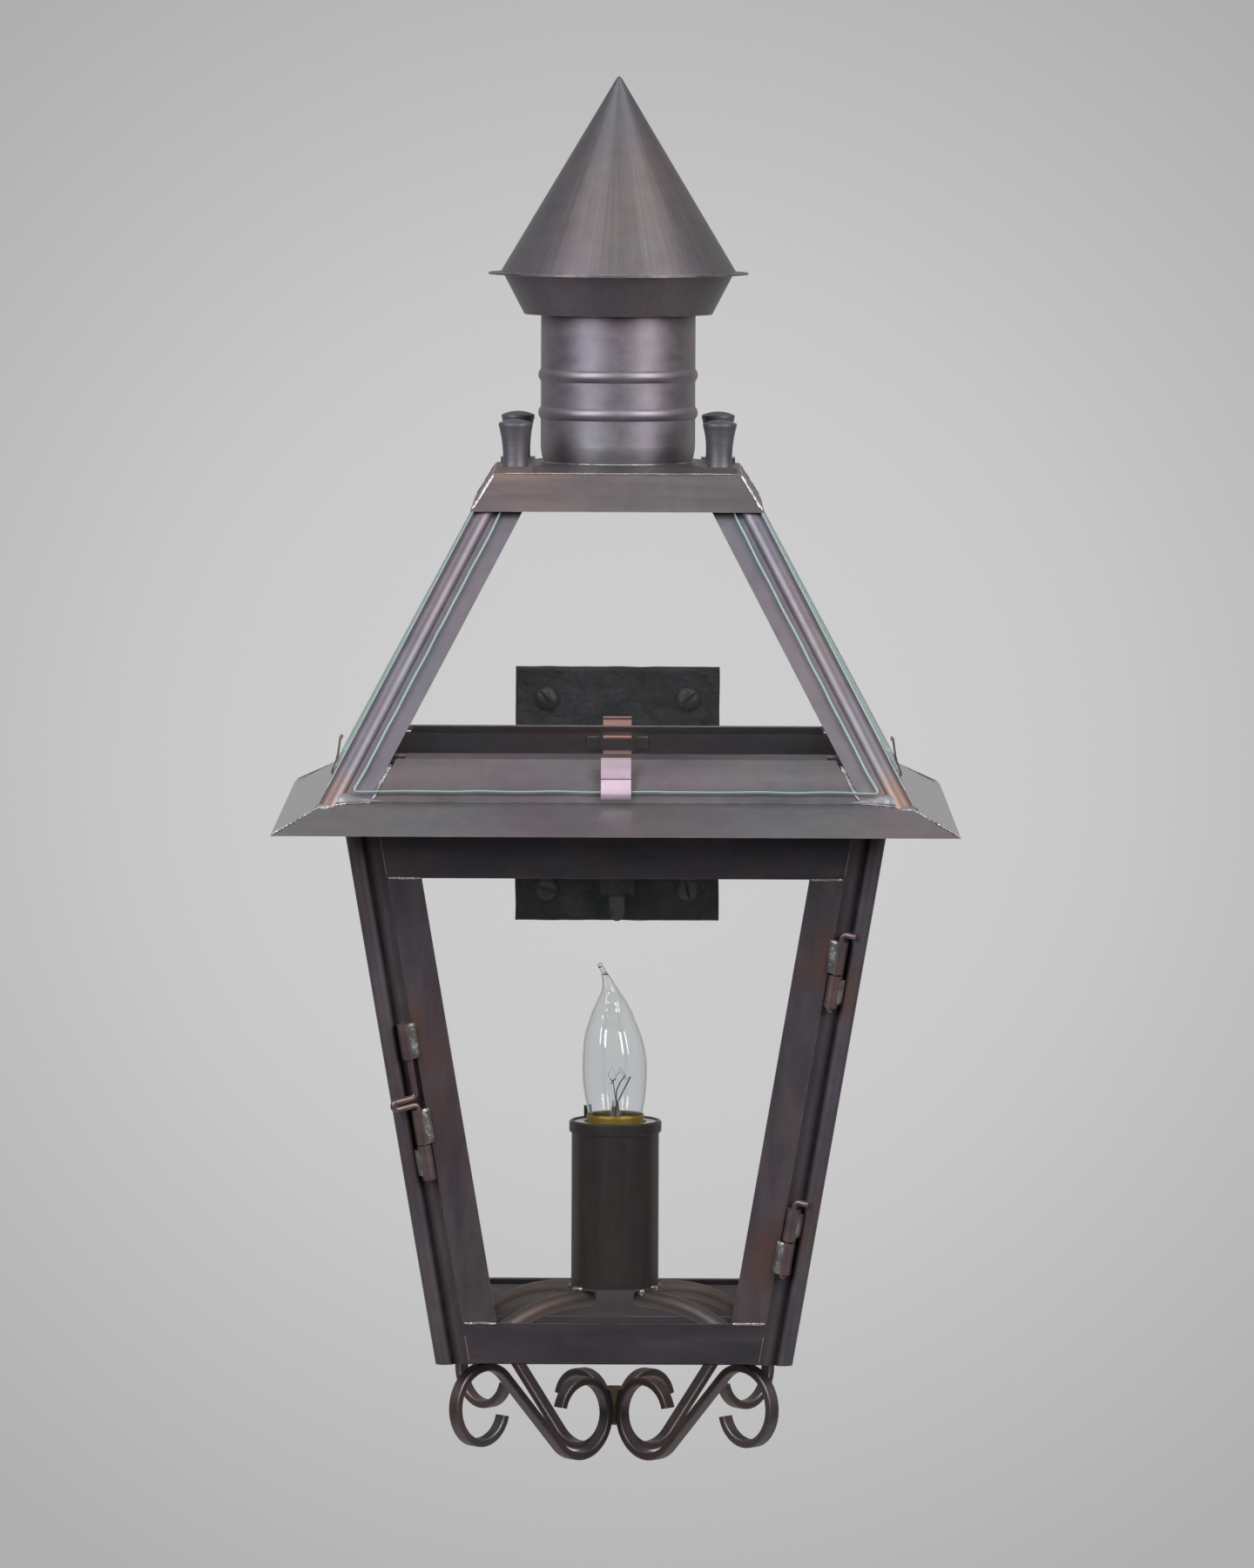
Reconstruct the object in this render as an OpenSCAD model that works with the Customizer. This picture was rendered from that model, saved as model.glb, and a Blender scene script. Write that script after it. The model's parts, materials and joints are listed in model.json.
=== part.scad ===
// Wall lantern: a square, tapered, glazed lantern with a hipped glass roof, a chimney
// with a cone cap, a hinged and bolted door, one candle lamp and four scrolls below.
// Millimetres, +Z up, the wall at Y = 0 and the lantern on the -Y side of it.
// Heights are counted from the middle of the wall plate.

/* [Wall bracket] */
// Width of the wall plate
plate_w = 102; // [90:1:140]
// Height of the wall plate
plate_h = 127; // [115:1:160]
// Thickness of the wall plate
plate_t = 6; // [4:0.5:9]
// Distance between the wall screws, across
screw_dx = 70; // [50:1:76]
// Distance between the wall screws, up
screw_dy = 95; // [70:1:100]
// Shank diameter of the wall screws
screw_d = 5; // [4:0.5:6]
// Head diameter of the wall screws
screw_head_d = 12.2; // [10:0.1:13]
// Length of screw that goes into the wall
screw_reach = 30; // [20:1:50]
// Thickness of the square hanger bar
bar_w = 7.5; // [6:0.5:9]
// Length of the hanger bar below its top edge
bar_drop = 66.3; // [58:0.1:72]
// Width of the sleeve that the hanger bar drops into
sleeve_w = 16.4; // [14:0.1:20]
// Height of the sleeve
sleeve_h = 38; // [25:1:42]
// Front wall of the sleeve
sleeve_wall = 2.4; // [1.5:0.1:3]
// Gap between the wall and the back edge of the eave
wall_gap = 13.7; // [10:0.1:30]

/* [Sheet and glass] */
// Thickness of the copper sheet
sheet = 0.9; // [0.7:0.05:1.1]
// Thickness of the window glass
glass_t = 3; // [2:0.1:3.2]

/* [Eave] */
// Height of the eave's bottom edge
eave_z = 6.5; // [6.5:0.1:12]
// Half the width of the eave at its bottom edge
eave_half = 159.9; // [155:0.1:170]
// Half the width of the eave at its top edge
eave_top_half = 134.5; // [133:0.1:136]
// Rise of the sloping eave skirt
eave_rise = 13.9; // [12:0.1:18]

/* [Body] */
// Half the width of the body at the eave's bottom edge
body_top_half = 126.6; // [123:0.1:128]
// Half the width of the body at its bottom edge
body_bot_half = 84.4; // [80:0.1:95]
// Height of the body from its bottom edge to the eave
body_h = 257; // [245:1:275]
// Radius of the rolled bead along each post
post_bead_r = 4.3; // [4:0.1:5]
// How far the post flanges lie below the outside of the bead
post_recess = 2.8; // [2.5:0.1:3.2]
// Width of a corner piece from its outer edge to the edge of its flange
flange_w = 20; // [18:0.5:21]
// Height of the bottom rails behind the glass
rail_h = 16.6; // [12:0.1:22]
// Half the width of the opening in the bottom frame
floor_hole_half = 60; // [50:0.5:66]

/* [Roof] */
// Half the width of the roof where the ribs meet the crown
roof_top_half = 67.6; // [66:0.1:68]
// Half the width of the roof at the foot of the ribs
roof_low_half = 137.7; // [136:0.1:139]
// Height of the crown's bottom edge above the top of the eave
roof_h = 132; // [120:0.5:140]
// Radius of the rounded roof ribs
rib_r = 5; // [4.6:0.1:5.5]
// How far the rib flanges lie below the outside of the rib
rib_recess = 2.7; // [2.6:0.1:3.2]
// Gap between the top of the eave and the lower edge of the roof glass
roof_glass_lift = 4.8; // [3:0.1:7]
// Height of the front strip behind the roof glass, with its hem
front_strip_h = 19.4; // [14:0.1:22]
// Height of the other three strips behind the roof glass, with their hem
strip_h = 13.5; // [11:0.5:20]
// Width of a copper glass clip
clip_w = 14; // [10:0.5:18]
// Height of the free leg of a glass clip
clip_leg = 15.5; // [10:0.5:20]

/* [Crown and chimney] */
// Half the width of the crown box at its bottom edge
crown_low_half = 69.4; // [69.2:0.1:72]
// Half the width of the crown box at its top edge
crown_top_half = 58.5; // [57:0.1:60]
// Height of the crown box's sloping sides
crown_h = 17.5; // [14:0.5:22]
// Rise of the crown's hipped top
crown_hip = 3; // [2:0.1:5]
// Distance of the corner knobs from the middle, both ways
knob_at = 48.3; // [47:0.1:50]
// Height of a corner knob
knob_h = 22.2; // [16:0.1:28]
// Diameter of a knob at its foot
knob_foot_d = 12; // [10:0.1:14]
// Diameter of a knob at its top
knob_top_d = 16; // [14:0.1:18]
// Width of the square plate under a knob
knob_plate_w = 16.4; // [16:0.1:18]
// Outside radius of the chimney
chimney_r = 36.9; // [34:0.1:38]
// Height of the chimney above the crown
chimney_h = 79.5; // [74:0.5:84]
// Height of the lower rolled bead above the crown
bead_low = 23.6; // [16:0.1:30]
// Distance between the two rolled beads
bead_step = 18; // [10:0.1:24]

/* [Cap] */
// Height of the cap skirt's bottom edge above the crown
cap_lift = 70.6; // [66:0.1:72]
// Outside radius of the cap skirt at its bottom
skirt_low_r = 44.9; // [44:0.1:47]
// Outside radius of the cap skirt at its top
skirt_top_r = 54.8; // [52:0.1:55]
// Height of the cap skirt
skirt_h = 19; // [16:0.1:22]
// Radius of the cap's brim
brim_r = 62; // [60:0.5:70]
// Radius of the cone at its foot
cone_r = 56.4; // [56:0.1:59]
// Height of the cone
cone_h = 94.3; // [60:0.5:110]

/* [Door] */
// Distance from the body's outer edge to the door's edge
door_inset = 16; // [15.8:0.1:17]
// Width of the door's stiles
stile_w = 16; // [14:0.5:20]
// Height of the door's top rail
door_top_h = 21; // [16:0.5:26]
// Height of the door's bottom rail
door_bot_h = 19.6; // [16:0.1:24]
// Outside radius of the hinge knuckles and latch tubes
tube_r = 3.25; // [3:0.05:3.3]
// Length of a hinge knuckle
knuckle_h = 15.6; // [10:0.1:18]
// Radius of the hinge pins
pin_r = 1.5; // [1.2:0.05:1.8]
// Height of the upper hinge's middle below the eave
hinge_high = 67.3; // [55:0.1:75]
// Height of the lower hinge's middle below the eave
hinge_low = 195.9; // [170:0.1:205]
// Radius of the latch rod
rod_r = 1.6; // [1.3:0.05:1.7]
// Height of the latch keeper's top below the eave
keeper_at = 149.8; // [140:0.1:170]
// Length of the keeper and of each latch guide
guide_h = 16.9; // [14:0.1:18]
// Distance between the lower and the upper latch guide
guide_gap = 24.6; // [22:0.1:34]
// Reach of the hairpin handle from the rod
handle_reach = 13.2; // [10:0.1:16]

/* [Candle] */
// Height of the candle cover's bottom edge above the body's bottom edge
candle_lift = 27.5; // [24:0.5:40]
// Outside radius of the candle cover
cover_r = 21; // [20.4:0.1:22]
// Height of the candle cover
cover_h = 79.7; // [70:0.1:90]
// Outside radius of the rolled rim on the candle cover
cover_rim_r = 22.2; // [21.9:0.1:24]
// Radius of the four support arms
arm_r = 4; // [3:0.1:4.5]
// Radius of the bend of the support arms
arm_bend_r = 112; // [100:1:130]
// Radius of the bulb's screw shell
lamp_r = 13.2; // [13:0.05:13.4]
// Largest radius of the flame-shaped bulb
bulb_r = 15.7; // [14.5:0.1:18]
// Height of the bulb's glass
bulb_h = 75; // [60:0.5:90]
// How far the bulb's tip bends to the side
tip_bend = 7; // [0:0.1:9]

/* [Scrolls] */
// Centre-line radius of a scroll's curls
curl_r = 18.5; // [16:0.1:20]
// Centre-line radius of the last third of a curl
curl_end_r = 15.2; // [13:0.1:16]
// Thickness of the scroll bar
scroll_t = 3.8; // [3:0.1:5]
// Width of the scroll bar
scroll_w = 6; // [5:0.1:8]
// Distance of the inner curl's centre from the middle, along the diagonal
curl_at = 24; // [20.3:0.1:28]
// Length of the straight between the two curls of a scroll
curl_run = 53; // [50:0.5:63]

/* [Hidden] */
$fn = 64;

// Colours of the finishes
patina = "#5f5458";
bright_copper = "#c08a78";
iron = "#1f1f21";
clear = "#cfe3de55";

// Clearances
seat = 0.1;      // between two pieces that are soldered or pressed together
run = 0.06;      // radial, between a pin or rod and its tube
free_gap = 0.3;  // between two pieces that move past each other

// Heights
eave_top = eave_z + eave_rise;
crown_z = eave_top + roof_h;
crown_top = crown_z + crown_h;
chimney_foot = crown_top + crown_hip;
skirt_z = chimney_foot + cap_lift;
brim_z = skirt_z + skirt_h;
body_bot = eave_z - body_h;
frame_under = eave_top - sheet;   // underside of the top frame
floor_top = body_bot + sheet;     // upper side of the bottom frame
candle_z = body_bot + candle_lift;
axis_out = eave_half + wall_gap;  // distance from the wall to the lantern's axis

// Slopes
body_lean = atan((body_top_half - body_bot_half) / body_h);
roof_lean = -atan((roof_low_half - roof_top_half) / roof_h);
eave_lean = -atan((eave_half - eave_top_half) / eave_rise);
crown_lean = -atan((crown_low_half - crown_top_half) / crown_h);
hip_lean = -atan((crown_top_half - chimney_r) / crown_hip);
body_edge = atan(sin(body_lean)); // turn of a body face's side edges within the face
roof_edge = atan(sin(roof_lean));

far = 400;                        // larger than any piece

// Distance, in a corner's section, from its outer edge to where the bead meets the flange
function bead_width(r, recess) = r + sqrt(r * r - (r - recess) * (r - recess));
// Height up a sloping body face of a point at height z
function up_body(z) = (z - body_bot) / cos(body_lean);
function up_roof(z) = (z - eave_top) / cos(roof_lean);
// Half the width of a body face at distance y up it, less a strip s wide along its edge
function body_x(y, s) = body_bot_half + y * sin(body_lean) - s / cos(body_edge);
function roof_x(y, s) = roof_low_half + y * sin(roof_lean) - s / cos(roof_edge);

// Points on an arc about c, and on a shallow arc from p to q that bulges by s
function arc(c, r, from, to, n) =
    [for (i = [0:n]) let (a = from + (to - from) * i / n) c + r * [cos(a), sin(a)]];
function bow(p, q, s, n) =
    let (d = q - p, across = [d[1], -d[0]] / norm(d))
    [for (i = [0:n]) let (t = i / n) p + d * t + across * s * 4 * t * (1 - t)];

// Outline of a bent strip of thickness t along the points p
function unit(v) = v / norm(v);
function left_of(v) = [-v[1], v[0]];
function mitre(p, i) =
    let (last = len(p) - 1,
        before = unit(p[max(i, 1)] - p[max(i, 1) - 1]),
        after = unit(p[min(i, last - 1) + 1] - p[min(i, last - 1)]),
        m = unit(left_of(before) + left_of(after)))
    m / (m * left_of(before));
function strip_outline(p, t) = concat(
    [for (i = [0:len(p) - 1]) p[i] + mitre(p, i) * t / 2],
    [for (i = [len(p) - 1:-1:0]) p[i] - mitre(p, i) * t / 2]);
module strip(p, t) polygon(strip_outline(p, t));

// The lantern's own axis
module lantern() translate([0, -axis_out, 0]) children();
// A horizontal layer between two heights
module layer(z0, z1) lantern() translate([-far, -far, z0]) cube([2 * far, 2 * far, z1 - z0]);
// Sides are 0 front, 1 right, 2 back, 3 left. Children are drawn flat, x across the face,
// y up it from its lower edge and z outward
module face(side, half, z, lean)
    lantern() translate([0, 0, z]) rotate([0, 0, 90 * side]) translate([0, -half, 0])
        rotate([90 + lean, 0, 0]) children();
module body_face(side) face(side, body_bot_half, body_bot, body_lean) children();
module roof_face(side) face(side, roof_low_half, eave_top, roof_lean) children();
// A solid inside four leaning planes, pulled in by g at right angles to each
module pyramid(half, z, lean, z0, z1, g = 0)
    intersection() {
        layer(z0, z1);
        for_side(0, half, z, lean, g);
        for_side(1, half, z, lean, g);
        for_side(2, half, z, lean, g);
        for_side(3, half, z, lean, g);
    }
module for_side(side, half, z, lean, g)
    face(side, half, z, lean) translate([-far, -far, -2 * far - g]) cube(2 * far);
// The upright plane through a corner: x outward along the diagonal, y up
module corner_plane(k)
    lantern() rotate([0, 0, 45 + 90 * k]) rotate([90, 0, 0]) children();
// A plate in a face, between distances y0 and y1 up it and z0 and z1 outward
module body_plate(s, y0, y1, z0, z1)
    translate([0, 0, z0]) linear_extrude(height = z1 - z0)
        polygon([[-body_x(y0, s), y0], [body_x(y0, s), y0], [body_x(y1, s), y1], [-body_x(y1, s), y1]]);
module roof_plate(s, y0, y1, z0, z1)
    translate([0, 0, z0]) linear_extrude(height = z1 - z0)
        polygon([[-roof_x(y0, s), y0], [roof_x(y0, s), y0], [roof_x(y1, s), y1], [-roof_x(y1, s), y1]]);

// A folded corner standing on its own: a rolled bead with a flange along each face
module corner_bar(r, recess, lean, length) {
    half_turn = acos(sin(lean) * sin(lean)) / 2;
    outer = [r / cos(half_turn), 0];
    along = [-sin(half_turn), cos(half_turn)];
    normal = [cos(half_turn), sin(half_turn)];
    start = r * tan(half_turn);
    half = [for (q = [[flange_w, recess], [start, recess], [start, recess + sheet], [flange_w, recess + sheet]])
        outer + q[0] * along - q[1] * normal];
    difference() {
        union() {
            cylinder(r = r, h = length);
            for (m = [0, 1]) mirror([0, m, 0]) linear_extrude(height = length) polygon(half);
        }
        translate([0, 0, -1]) cylinder(r = r - sheet, h = length + 2);
    }
}
// Corner k is 0 front right, 1 back right, 2 back left, 3 front left
module corner_piece(k, half, z, lean, r, recess, length)
    lantern() translate([0, 0, z]) rotate([0, 0, 90 * k - 45]) translate([half * sqrt(2), 0, 0])
        rotate([0, atan(tan(lean) * sqrt(2)), 0])
            translate([-r / cos(acos(sin(lean) * sin(lean)) / 2), 0, -length / 2])
                corner_bar(r, recess, lean, 2 * length);

// Wall bracket
module wall_plate() color(iron) difference() {
    rotate([90, 0, 0]) linear_extrude(height = plate_t) square([plate_w, plate_h], center = true);
    for (k = [0:3]) at_screw(k) rotate([90, 0, 0])
        translate([0, 0, -1]) cylinder(d = shoulder_d + 2 * seat, h = plate_t + 2);
}
// A shoulder under the head fills the hole in the plate
shoulder_d = screw_d + 0.8;
// Screws 0 to 3 are lower left, lower right, upper left and upper right
module at_screw(k)
    translate([(k % 2 - 0.5) * screw_dx, 0, (floor(k / 2) - 0.5) * screw_dy]) children();
screw_head_h = 3.2;
slot_w = 1.4;
slot_turns = [20, 75, 50, -40];
module wall_screws() color(iron) for (k = [0:3]) at_screw(k) {
    translate([0, screw_reach, 0]) rotate([90, 0, 0]) cylinder(d = screw_d, h = screw_reach + 1);
    rotate([90, 0, 0]) cylinder(d = shoulder_d, h = plate_t + screw_head_h / 3);
    difference() {
        translate([0, -plate_t, 0]) rotate([90, 0, 0]) rotate_extrude() polygon(concat(
            [[0, 0]], bow([screw_head_d / 2, 0], [screw_d / 4, screw_head_h], 1, 8), [[0, screw_head_h]]));
        rotate([0, slot_turns[k], 0]) translate([0, -plate_t - screw_head_h, 0])
            cube([screw_head_d, screw_head_h, slot_w], center = true);
    }
}
// The sleeve is open above and below. The bar's middle is at bar_y in front of the wall
sleeve_back = 1.6;
bar_y = plate_t + sleeve_back + seat + bar_w / 2;
bar_top = eave_z - 2.7;            // passes just under the eave
bar_tip = bar_top - bar_drop;
tip_shown = 13.5;                  // length of bar that shows below the sleeve
sleeve_z = bar_tip + tip_shown;
module wall_sleeve() color(iron) difference() {
    depth = sleeve_back + bar_w + 2 * seat + sleeve_wall;
    translate([-sleeve_w / 2, -plate_t - depth, sleeve_z]) cube([sleeve_w, depth, sleeve_h]);
    translate([-bar_w / 2 - seat, -bar_y - bar_w / 2 - seat, sleeve_z - 1])
        cube([bar_w + 2 * seat, bar_w + 2 * seat, sleeve_h + 2]);
}
pad_t = 2.8;
pad_w = 26;
pad_h = 20;
// The pad lies on the back rail, above the glass, and the bar ends on it
pad_y = axis_out - (body_bot_half + (bar_top - bar_w / 2 - body_bot) * tan(body_lean)) + post_recess;
module hanger_bar() color(iron) difference() {
    union() {
        translate([-bar_w / 2, -pad_y + pad_t / 2, bar_top - bar_w]) cube([bar_w, pad_y - pad_t / 2 - bar_y, bar_w]);
        translate([-bar_w / 2, -bar_y - bar_w / 2, bar_tip + bar_w / 2]) cube([bar_w, bar_w, bar_drop - bar_w]);
        translate([0, -bar_y + bar_w / 2, bar_tip + bar_w / 2]) rotate([90, 0, 0]) cylinder(d = bar_w, h = bar_w);
        translate([-bar_w / 2, -bar_y, bar_top - bar_w / 2]) rotate([0, 90, 0]) cylinder(d = bar_w, h = bar_w);
    }
    hanger_pad_solid(seat);
}
module hanger_pad_solid(g)
    body_face(2) translate([-pad_w / 2 - g, up_body(bar_top) - pad_h - g, seat - post_recess - g])
        cube([pad_w + 2 * g, pad_h + 2 * g, pad_t - seat + 2 * g]);
module hanger_pad() color(iron) hanger_pad_solid(0);

// Corner posts, cut level at both ends
module post(k) color(patina) intersection() {
    corner_piece(k, body_bot_half, body_bot, body_lean, post_bead_r, post_recess, body_h);
    layer(body_bot, frame_under);
}
// The top frame is a flat ring with a header above the door
frame_in = 118;                    // half the width of its opening
module top_frame() color(patina) {
    difference() {
        layer_square(eave_top_half, frame_under, eave_top);
        layer_square(frame_in, frame_under - 1, eave_top + 1);
    }
    intersection() {
        body_face(0) body_plate(flange_w + seat, door_top_y - 2, up_body(eave_top), -post_recess - sheet, -post_recess);
        layer(body_bot, frame_under + sheet / 2);
    }
}
module layer_square(half, z0, z1)
    lantern() translate([-half, -half, z0]) cube([2 * half, 2 * half, z1 - z0]);
// The bottom frame is a flat ring inside the posts, with its corners cut off round the beads
// and a boss below each corner that carries a scroll
boss_h = 2;
boss_r = 3.2;
module bottom_frame() color(patina) {
    for (k = [0:3]) lantern() rotate([0, 0, 45 + 90 * k]) translate([boss_at, 0, body_bot - boss_h])
        cylinder(r = boss_r, h = boss_h + sheet / 2);
    inside = body_bot_half - (post_recess + sheet) / cos(body_lean) - seat;
    corner = body_bot_half * sqrt(2) - post_bead_r * (1 + sqrt(2)) - 2 * seat;
    difference() {
        intersection() {
            layer_square(inside, body_bot, floor_top);
            lantern() rotate([0, 0, 45]) translate([-corner, -corner, body_bot]) cube([2 * corner, 2 * corner, sheet]);
        }
        layer_square(floor_hole_half, body_bot - 1, floor_top + 1);
    }
}
// Rails behind the side and back glass: a flat strip with a hem turned inward
top_rail_drop = 20;
hem = 4;
module rail(y0, y1) {
    body_plate(flange_w + seat, y0, y1, -post_recess - sheet, -post_recess);
    hem_x = body_x(y1, flange_w + seat) - hem;
    rotate([90, 0, 90]) translate([0, 0, -hem_x]) linear_extrude(height = 2 * hem_x)
        strip([[y1 - sheet / 2, -post_recess - sheet / 2], [y1 + hem / 2, -post_recess - sheet - hem]], sheet);
}
// The back rail is deeper, for the hanger's pad, and the back glass ends below the pad
function top_rail_y(side) = up_body(side == 2 ? bar_top - pad_h - 4 : frame_under - top_rail_drop);
module side_rails() color(patina) for (side = [1:3]) intersection() {
    body_face(side) {
        rail(-1, rail_h);
        body_plate(flange_w + seat, top_rail_y(side), up_body(frame_under) + 1, -post_recess - sheet, -post_recess);
    }
    layer(floor_top, frame_under);
}
pane_edge = bead_width(post_bead_r, post_recess) + 1;
function pane_top(side) = side == 2 ? top_rail_y(2) + 3 : up_body(frame_under - 1.5);
module pane(side) color(clear) intersection() {
    body_face(side) body_plate(pane_edge, -1, pane_top(side), -post_recess, glass_t - post_recess);
    layer(body_bot, frame_under);
}
// Small tabs keep the glass in: bent up under its lower edge, and flat over its upper edge
tab_w = 8;
tab_t = 0.8;
tab_reach = 7;
tab_leg = 14;                      // below the glass, cut off at the floor
tab_at = 0.45;                     // share of the half width
module pane_tabs() color(bright_copper) for (side = [1:3], m = [-1, 1]) {
    bend = [-tab_t / 2 - seat, glass_t - post_recess + tab_t / 2 + seat];
    body_face(side) translate([m * tab_at * body_bot_half - tab_w / 2, 0, 0]) rotate([90, 0, 90])
        linear_extrude(height = tab_w)
            strip([bend - tab_leg * [sin(body_lean), cos(body_lean)], bend, [tab_reach, bend[1]]], tab_t);
    intersection() {
        body_face(side) translate([m * tab_at * body_top_half - tab_w / 2, pane_top(side) - tab_reach,
            glass_t - post_recess + seat]) cube([tab_w, tab_reach + 1.5, tab_t]);
        layer(body_bot, frame_under);
    }
}

// Eave: four sloping plates with mitred corners
module eave_skirt() color(patina) difference() {
    pyramid(eave_half, eave_z, eave_lean, eave_z, eave_top);
    pyramid(eave_half, eave_z, eave_lean, eave_z - 1, eave_top + 1, sheet);
    layer_square(eave_top_half + seat, frame_under, eave_top + 1);
}

// Roof ribs run from the eave up into the crown box
rib_top = crown_z + 6;
module rib(k) color(patina) difference() {
    intersection() {
        corner_piece(k, roof_low_half, eave_top, roof_lean, rib_r, rib_recess, roof_h);
        layer(eave_z, rib_top);
    }
    pyramid(eave_half, eave_z, eave_lean, eave_z - 1, eave_top);
}
module roof_top_rails() color(patina) for (side = [0:3]) intersection() {
    roof_face(side) roof_plate(flange_w + seat, up_roof(crown_z) + 1, up_roof(rib_top), -rib_recess - sheet, -rib_recess);
    layer(crown_z, rib_top);
}
roof_glass_y = up_roof(eave_top + roof_glass_lift);
roof_pane_edge = bead_width(rib_r, rib_recess) + 1.6;
module roof_pane(side) color(clear)
    roof_face(side) roof_plate(roof_pane_edge, roof_glass_y, up_roof(crown_z + 4), -rib_recess, glass_t - rib_recess);
// Strips stand on the eave behind the lower edge of the roof glass, each with a hem turned
// inward and a slot that its clip passes through
function strip_top(side) = roof_glass_y + (side == 0 ? front_strip_h : strip_h) / cos(roof_lean) - hem;
module roof_strips() color(patina) intersection() {
    for (side = [0:3]) roof_face(side) difference() {
        union() {
            top = strip_top(side);
            hem_end = side == 0 ? [hem, -0.6 * hem] : [1.2 * hem, -0.3 * hem];
            roof_plate(flange_w + 2, -hem, top, -rib_recess - sheet, -rib_recess);
            hem_x = roof_x(top, flange_w + 2) - hem;
            rotate([90, 0, 90]) translate([0, 0, -hem_x]) linear_extrude(height = 2 * hem_x)
                strip([[top - sheet / 2, -rib_recess - sheet / 2],
                    [top + hem_end[0], hem_end[1] - rib_recess - sheet]], sheet);
        }
        translate([-clip_w / 2 - free_gap, -hem - 1, -rib_recess - 2 * sheet])
            cube([clip_w + 2 * free_gap, roof_glass_y + free_gap + hem + 1, 3 * sheet]);
    }
    layer(eave_top + seat, crown_z);
}
// A clip hooks over the strip, passes under the glass and stands up in front of it
clip_t = 0.8;
clip_in = -rib_recess - sheet - clip_t / 2 - seat;
clip_out = glass_t - rib_recess + clip_t / 2 + seat;
clip_turn = (clip_out - clip_in) / 2;
clip_crease = 0.4;                 // share of the free leg below its crease
module glass_clips() color(bright_copper) for (side = [0:3]) roof_face(side)
    rotate([90, 0, 90]) translate([0, 0, -clip_w / 2]) linear_extrude(height = clip_w) {
        strip(concat(
            [[strip_top(side) - 1.5, clip_in]],
            arc([roof_glass_y - seat, (clip_in + clip_out) / 2], clip_turn, 270, 90, 8),
            [[roof_glass_y + clip_leg * clip_crease, clip_out + 0.8], [roof_glass_y + clip_leg, clip_out + 4.2]]), clip_t);
    }
// A strap with a raised middle holds each clip against its strip
bridge_w = 29.5;
bridge_h = 6.6;
module clip_bridges() color(patina) for (side = [0:3]) roof_face(side)
    translate([0, roof_glass_y + 2.6 + bridge_h, -rib_recess - sheet]) rotate([90, 0, 0]) linear_extrude(height = bridge_h) {
        low = -sheet / 2 - seat;
        high = -clip_t - sheet / 2 - 3 * seat;
        strip([[-bridge_w / 2, low], [-clip_w / 2 - 1.6, low], [-clip_w / 2 - 0.7, high],
            [clip_w / 2 + 0.7, high], [clip_w / 2 + 1.6, low], [bridge_w / 2, low]], sheet);
    }

// Crown box: sloping sides and a low hipped top, folded from sheet and open below
module crown_solid(g) intersection() {
    pyramid(crown_low_half, crown_z, crown_lean, crown_z - g, chimney_foot - g, g);
    pyramid(crown_top_half, crown_top, hip_lean, crown_z - g, chimney_foot - g, g);
}
chimney_foot_r = chimney_r - 1.5;
module crown_box() color(patina) difference() {
    crown_solid(0);
    crown_solid(sheet);
    lantern() translate([0, 0, crown_z]) cylinder(r = chimney_foot_r + seat, h = 2 * crown_h);
}
knob_plate_z = crown_top + (crown_top_half - knob_at + knob_plate_w / 2) * crown_hip / (crown_top_half - chimney_r);
knob_plate_t = 1.4;
module at_knobs() lantern() for (x = [-1, 1], y = [-1, 1]) translate([x * knob_at, y * knob_at, 0]) children();
module knob_plates() color(patina) difference() {
    at_knobs() translate([-knob_plate_w / 2, -knob_plate_w / 2, crown_top - 1])
        cube([knob_plate_w, knob_plate_w, knob_plate_z + knob_plate_t - crown_top + 1 - 0.9]);
    crown_solid(0);
}
knob_z = knob_plate_z + knob_plate_t - 0.9;
module corner_knobs() color(patina) at_knobs() translate([0, 0, knob_z]) {
    edge_h = 1;
    dome_h = 1.8;
    rotate_extrude() polygon(concat([[0, 0]],
        bow([knob_foot_d / 2, 0], [knob_top_d / 2, knob_h - dome_h - edge_h], -0.8, 8),
        bow([knob_top_d / 2, knob_h - dome_h], [0, knob_h], 0.5, 6)));
}

// Chimney: a tube with two rolled beads, drawn in at its foot
roll_h = 5.8;
roll_out = 1.2;
roll_r = (roll_h * roll_h / 4 + roll_out * roll_out) / (2 * roll_out);
module chimney_outline(g) {
    foot_h = 8;
    polygon(concat([[0, -2 * g], [chimney_foot_r - g, -2 * g]],
        bow([chimney_foot_r - g, 0], [chimney_r - g, foot_h], 0.3, 5), [[chimney_r - g, chimney_h + g], [0, chimney_h + g]]));
    for (z = [bead_low, bead_low + bead_step])
        intersection() {
            translate([chimney_r + roll_out - roll_r, z]) circle(r = roll_r - g);
            translate([0, z - roll_h]) square([2 * chimney_r, 2 * roll_h]);
        }
}
module chimney() color(patina) lantern() translate([0, 0, chimney_foot]) {
    rotate_extrude() difference() {
        union() {
            chimney_outline(0);
            translate([0, -4]) square([chimney_foot_r, 4]);
        }
        chimney_outline(sheet);
        translate([0, -5]) square([chimney_foot_r - sheet, 5]);
    }
}
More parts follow.
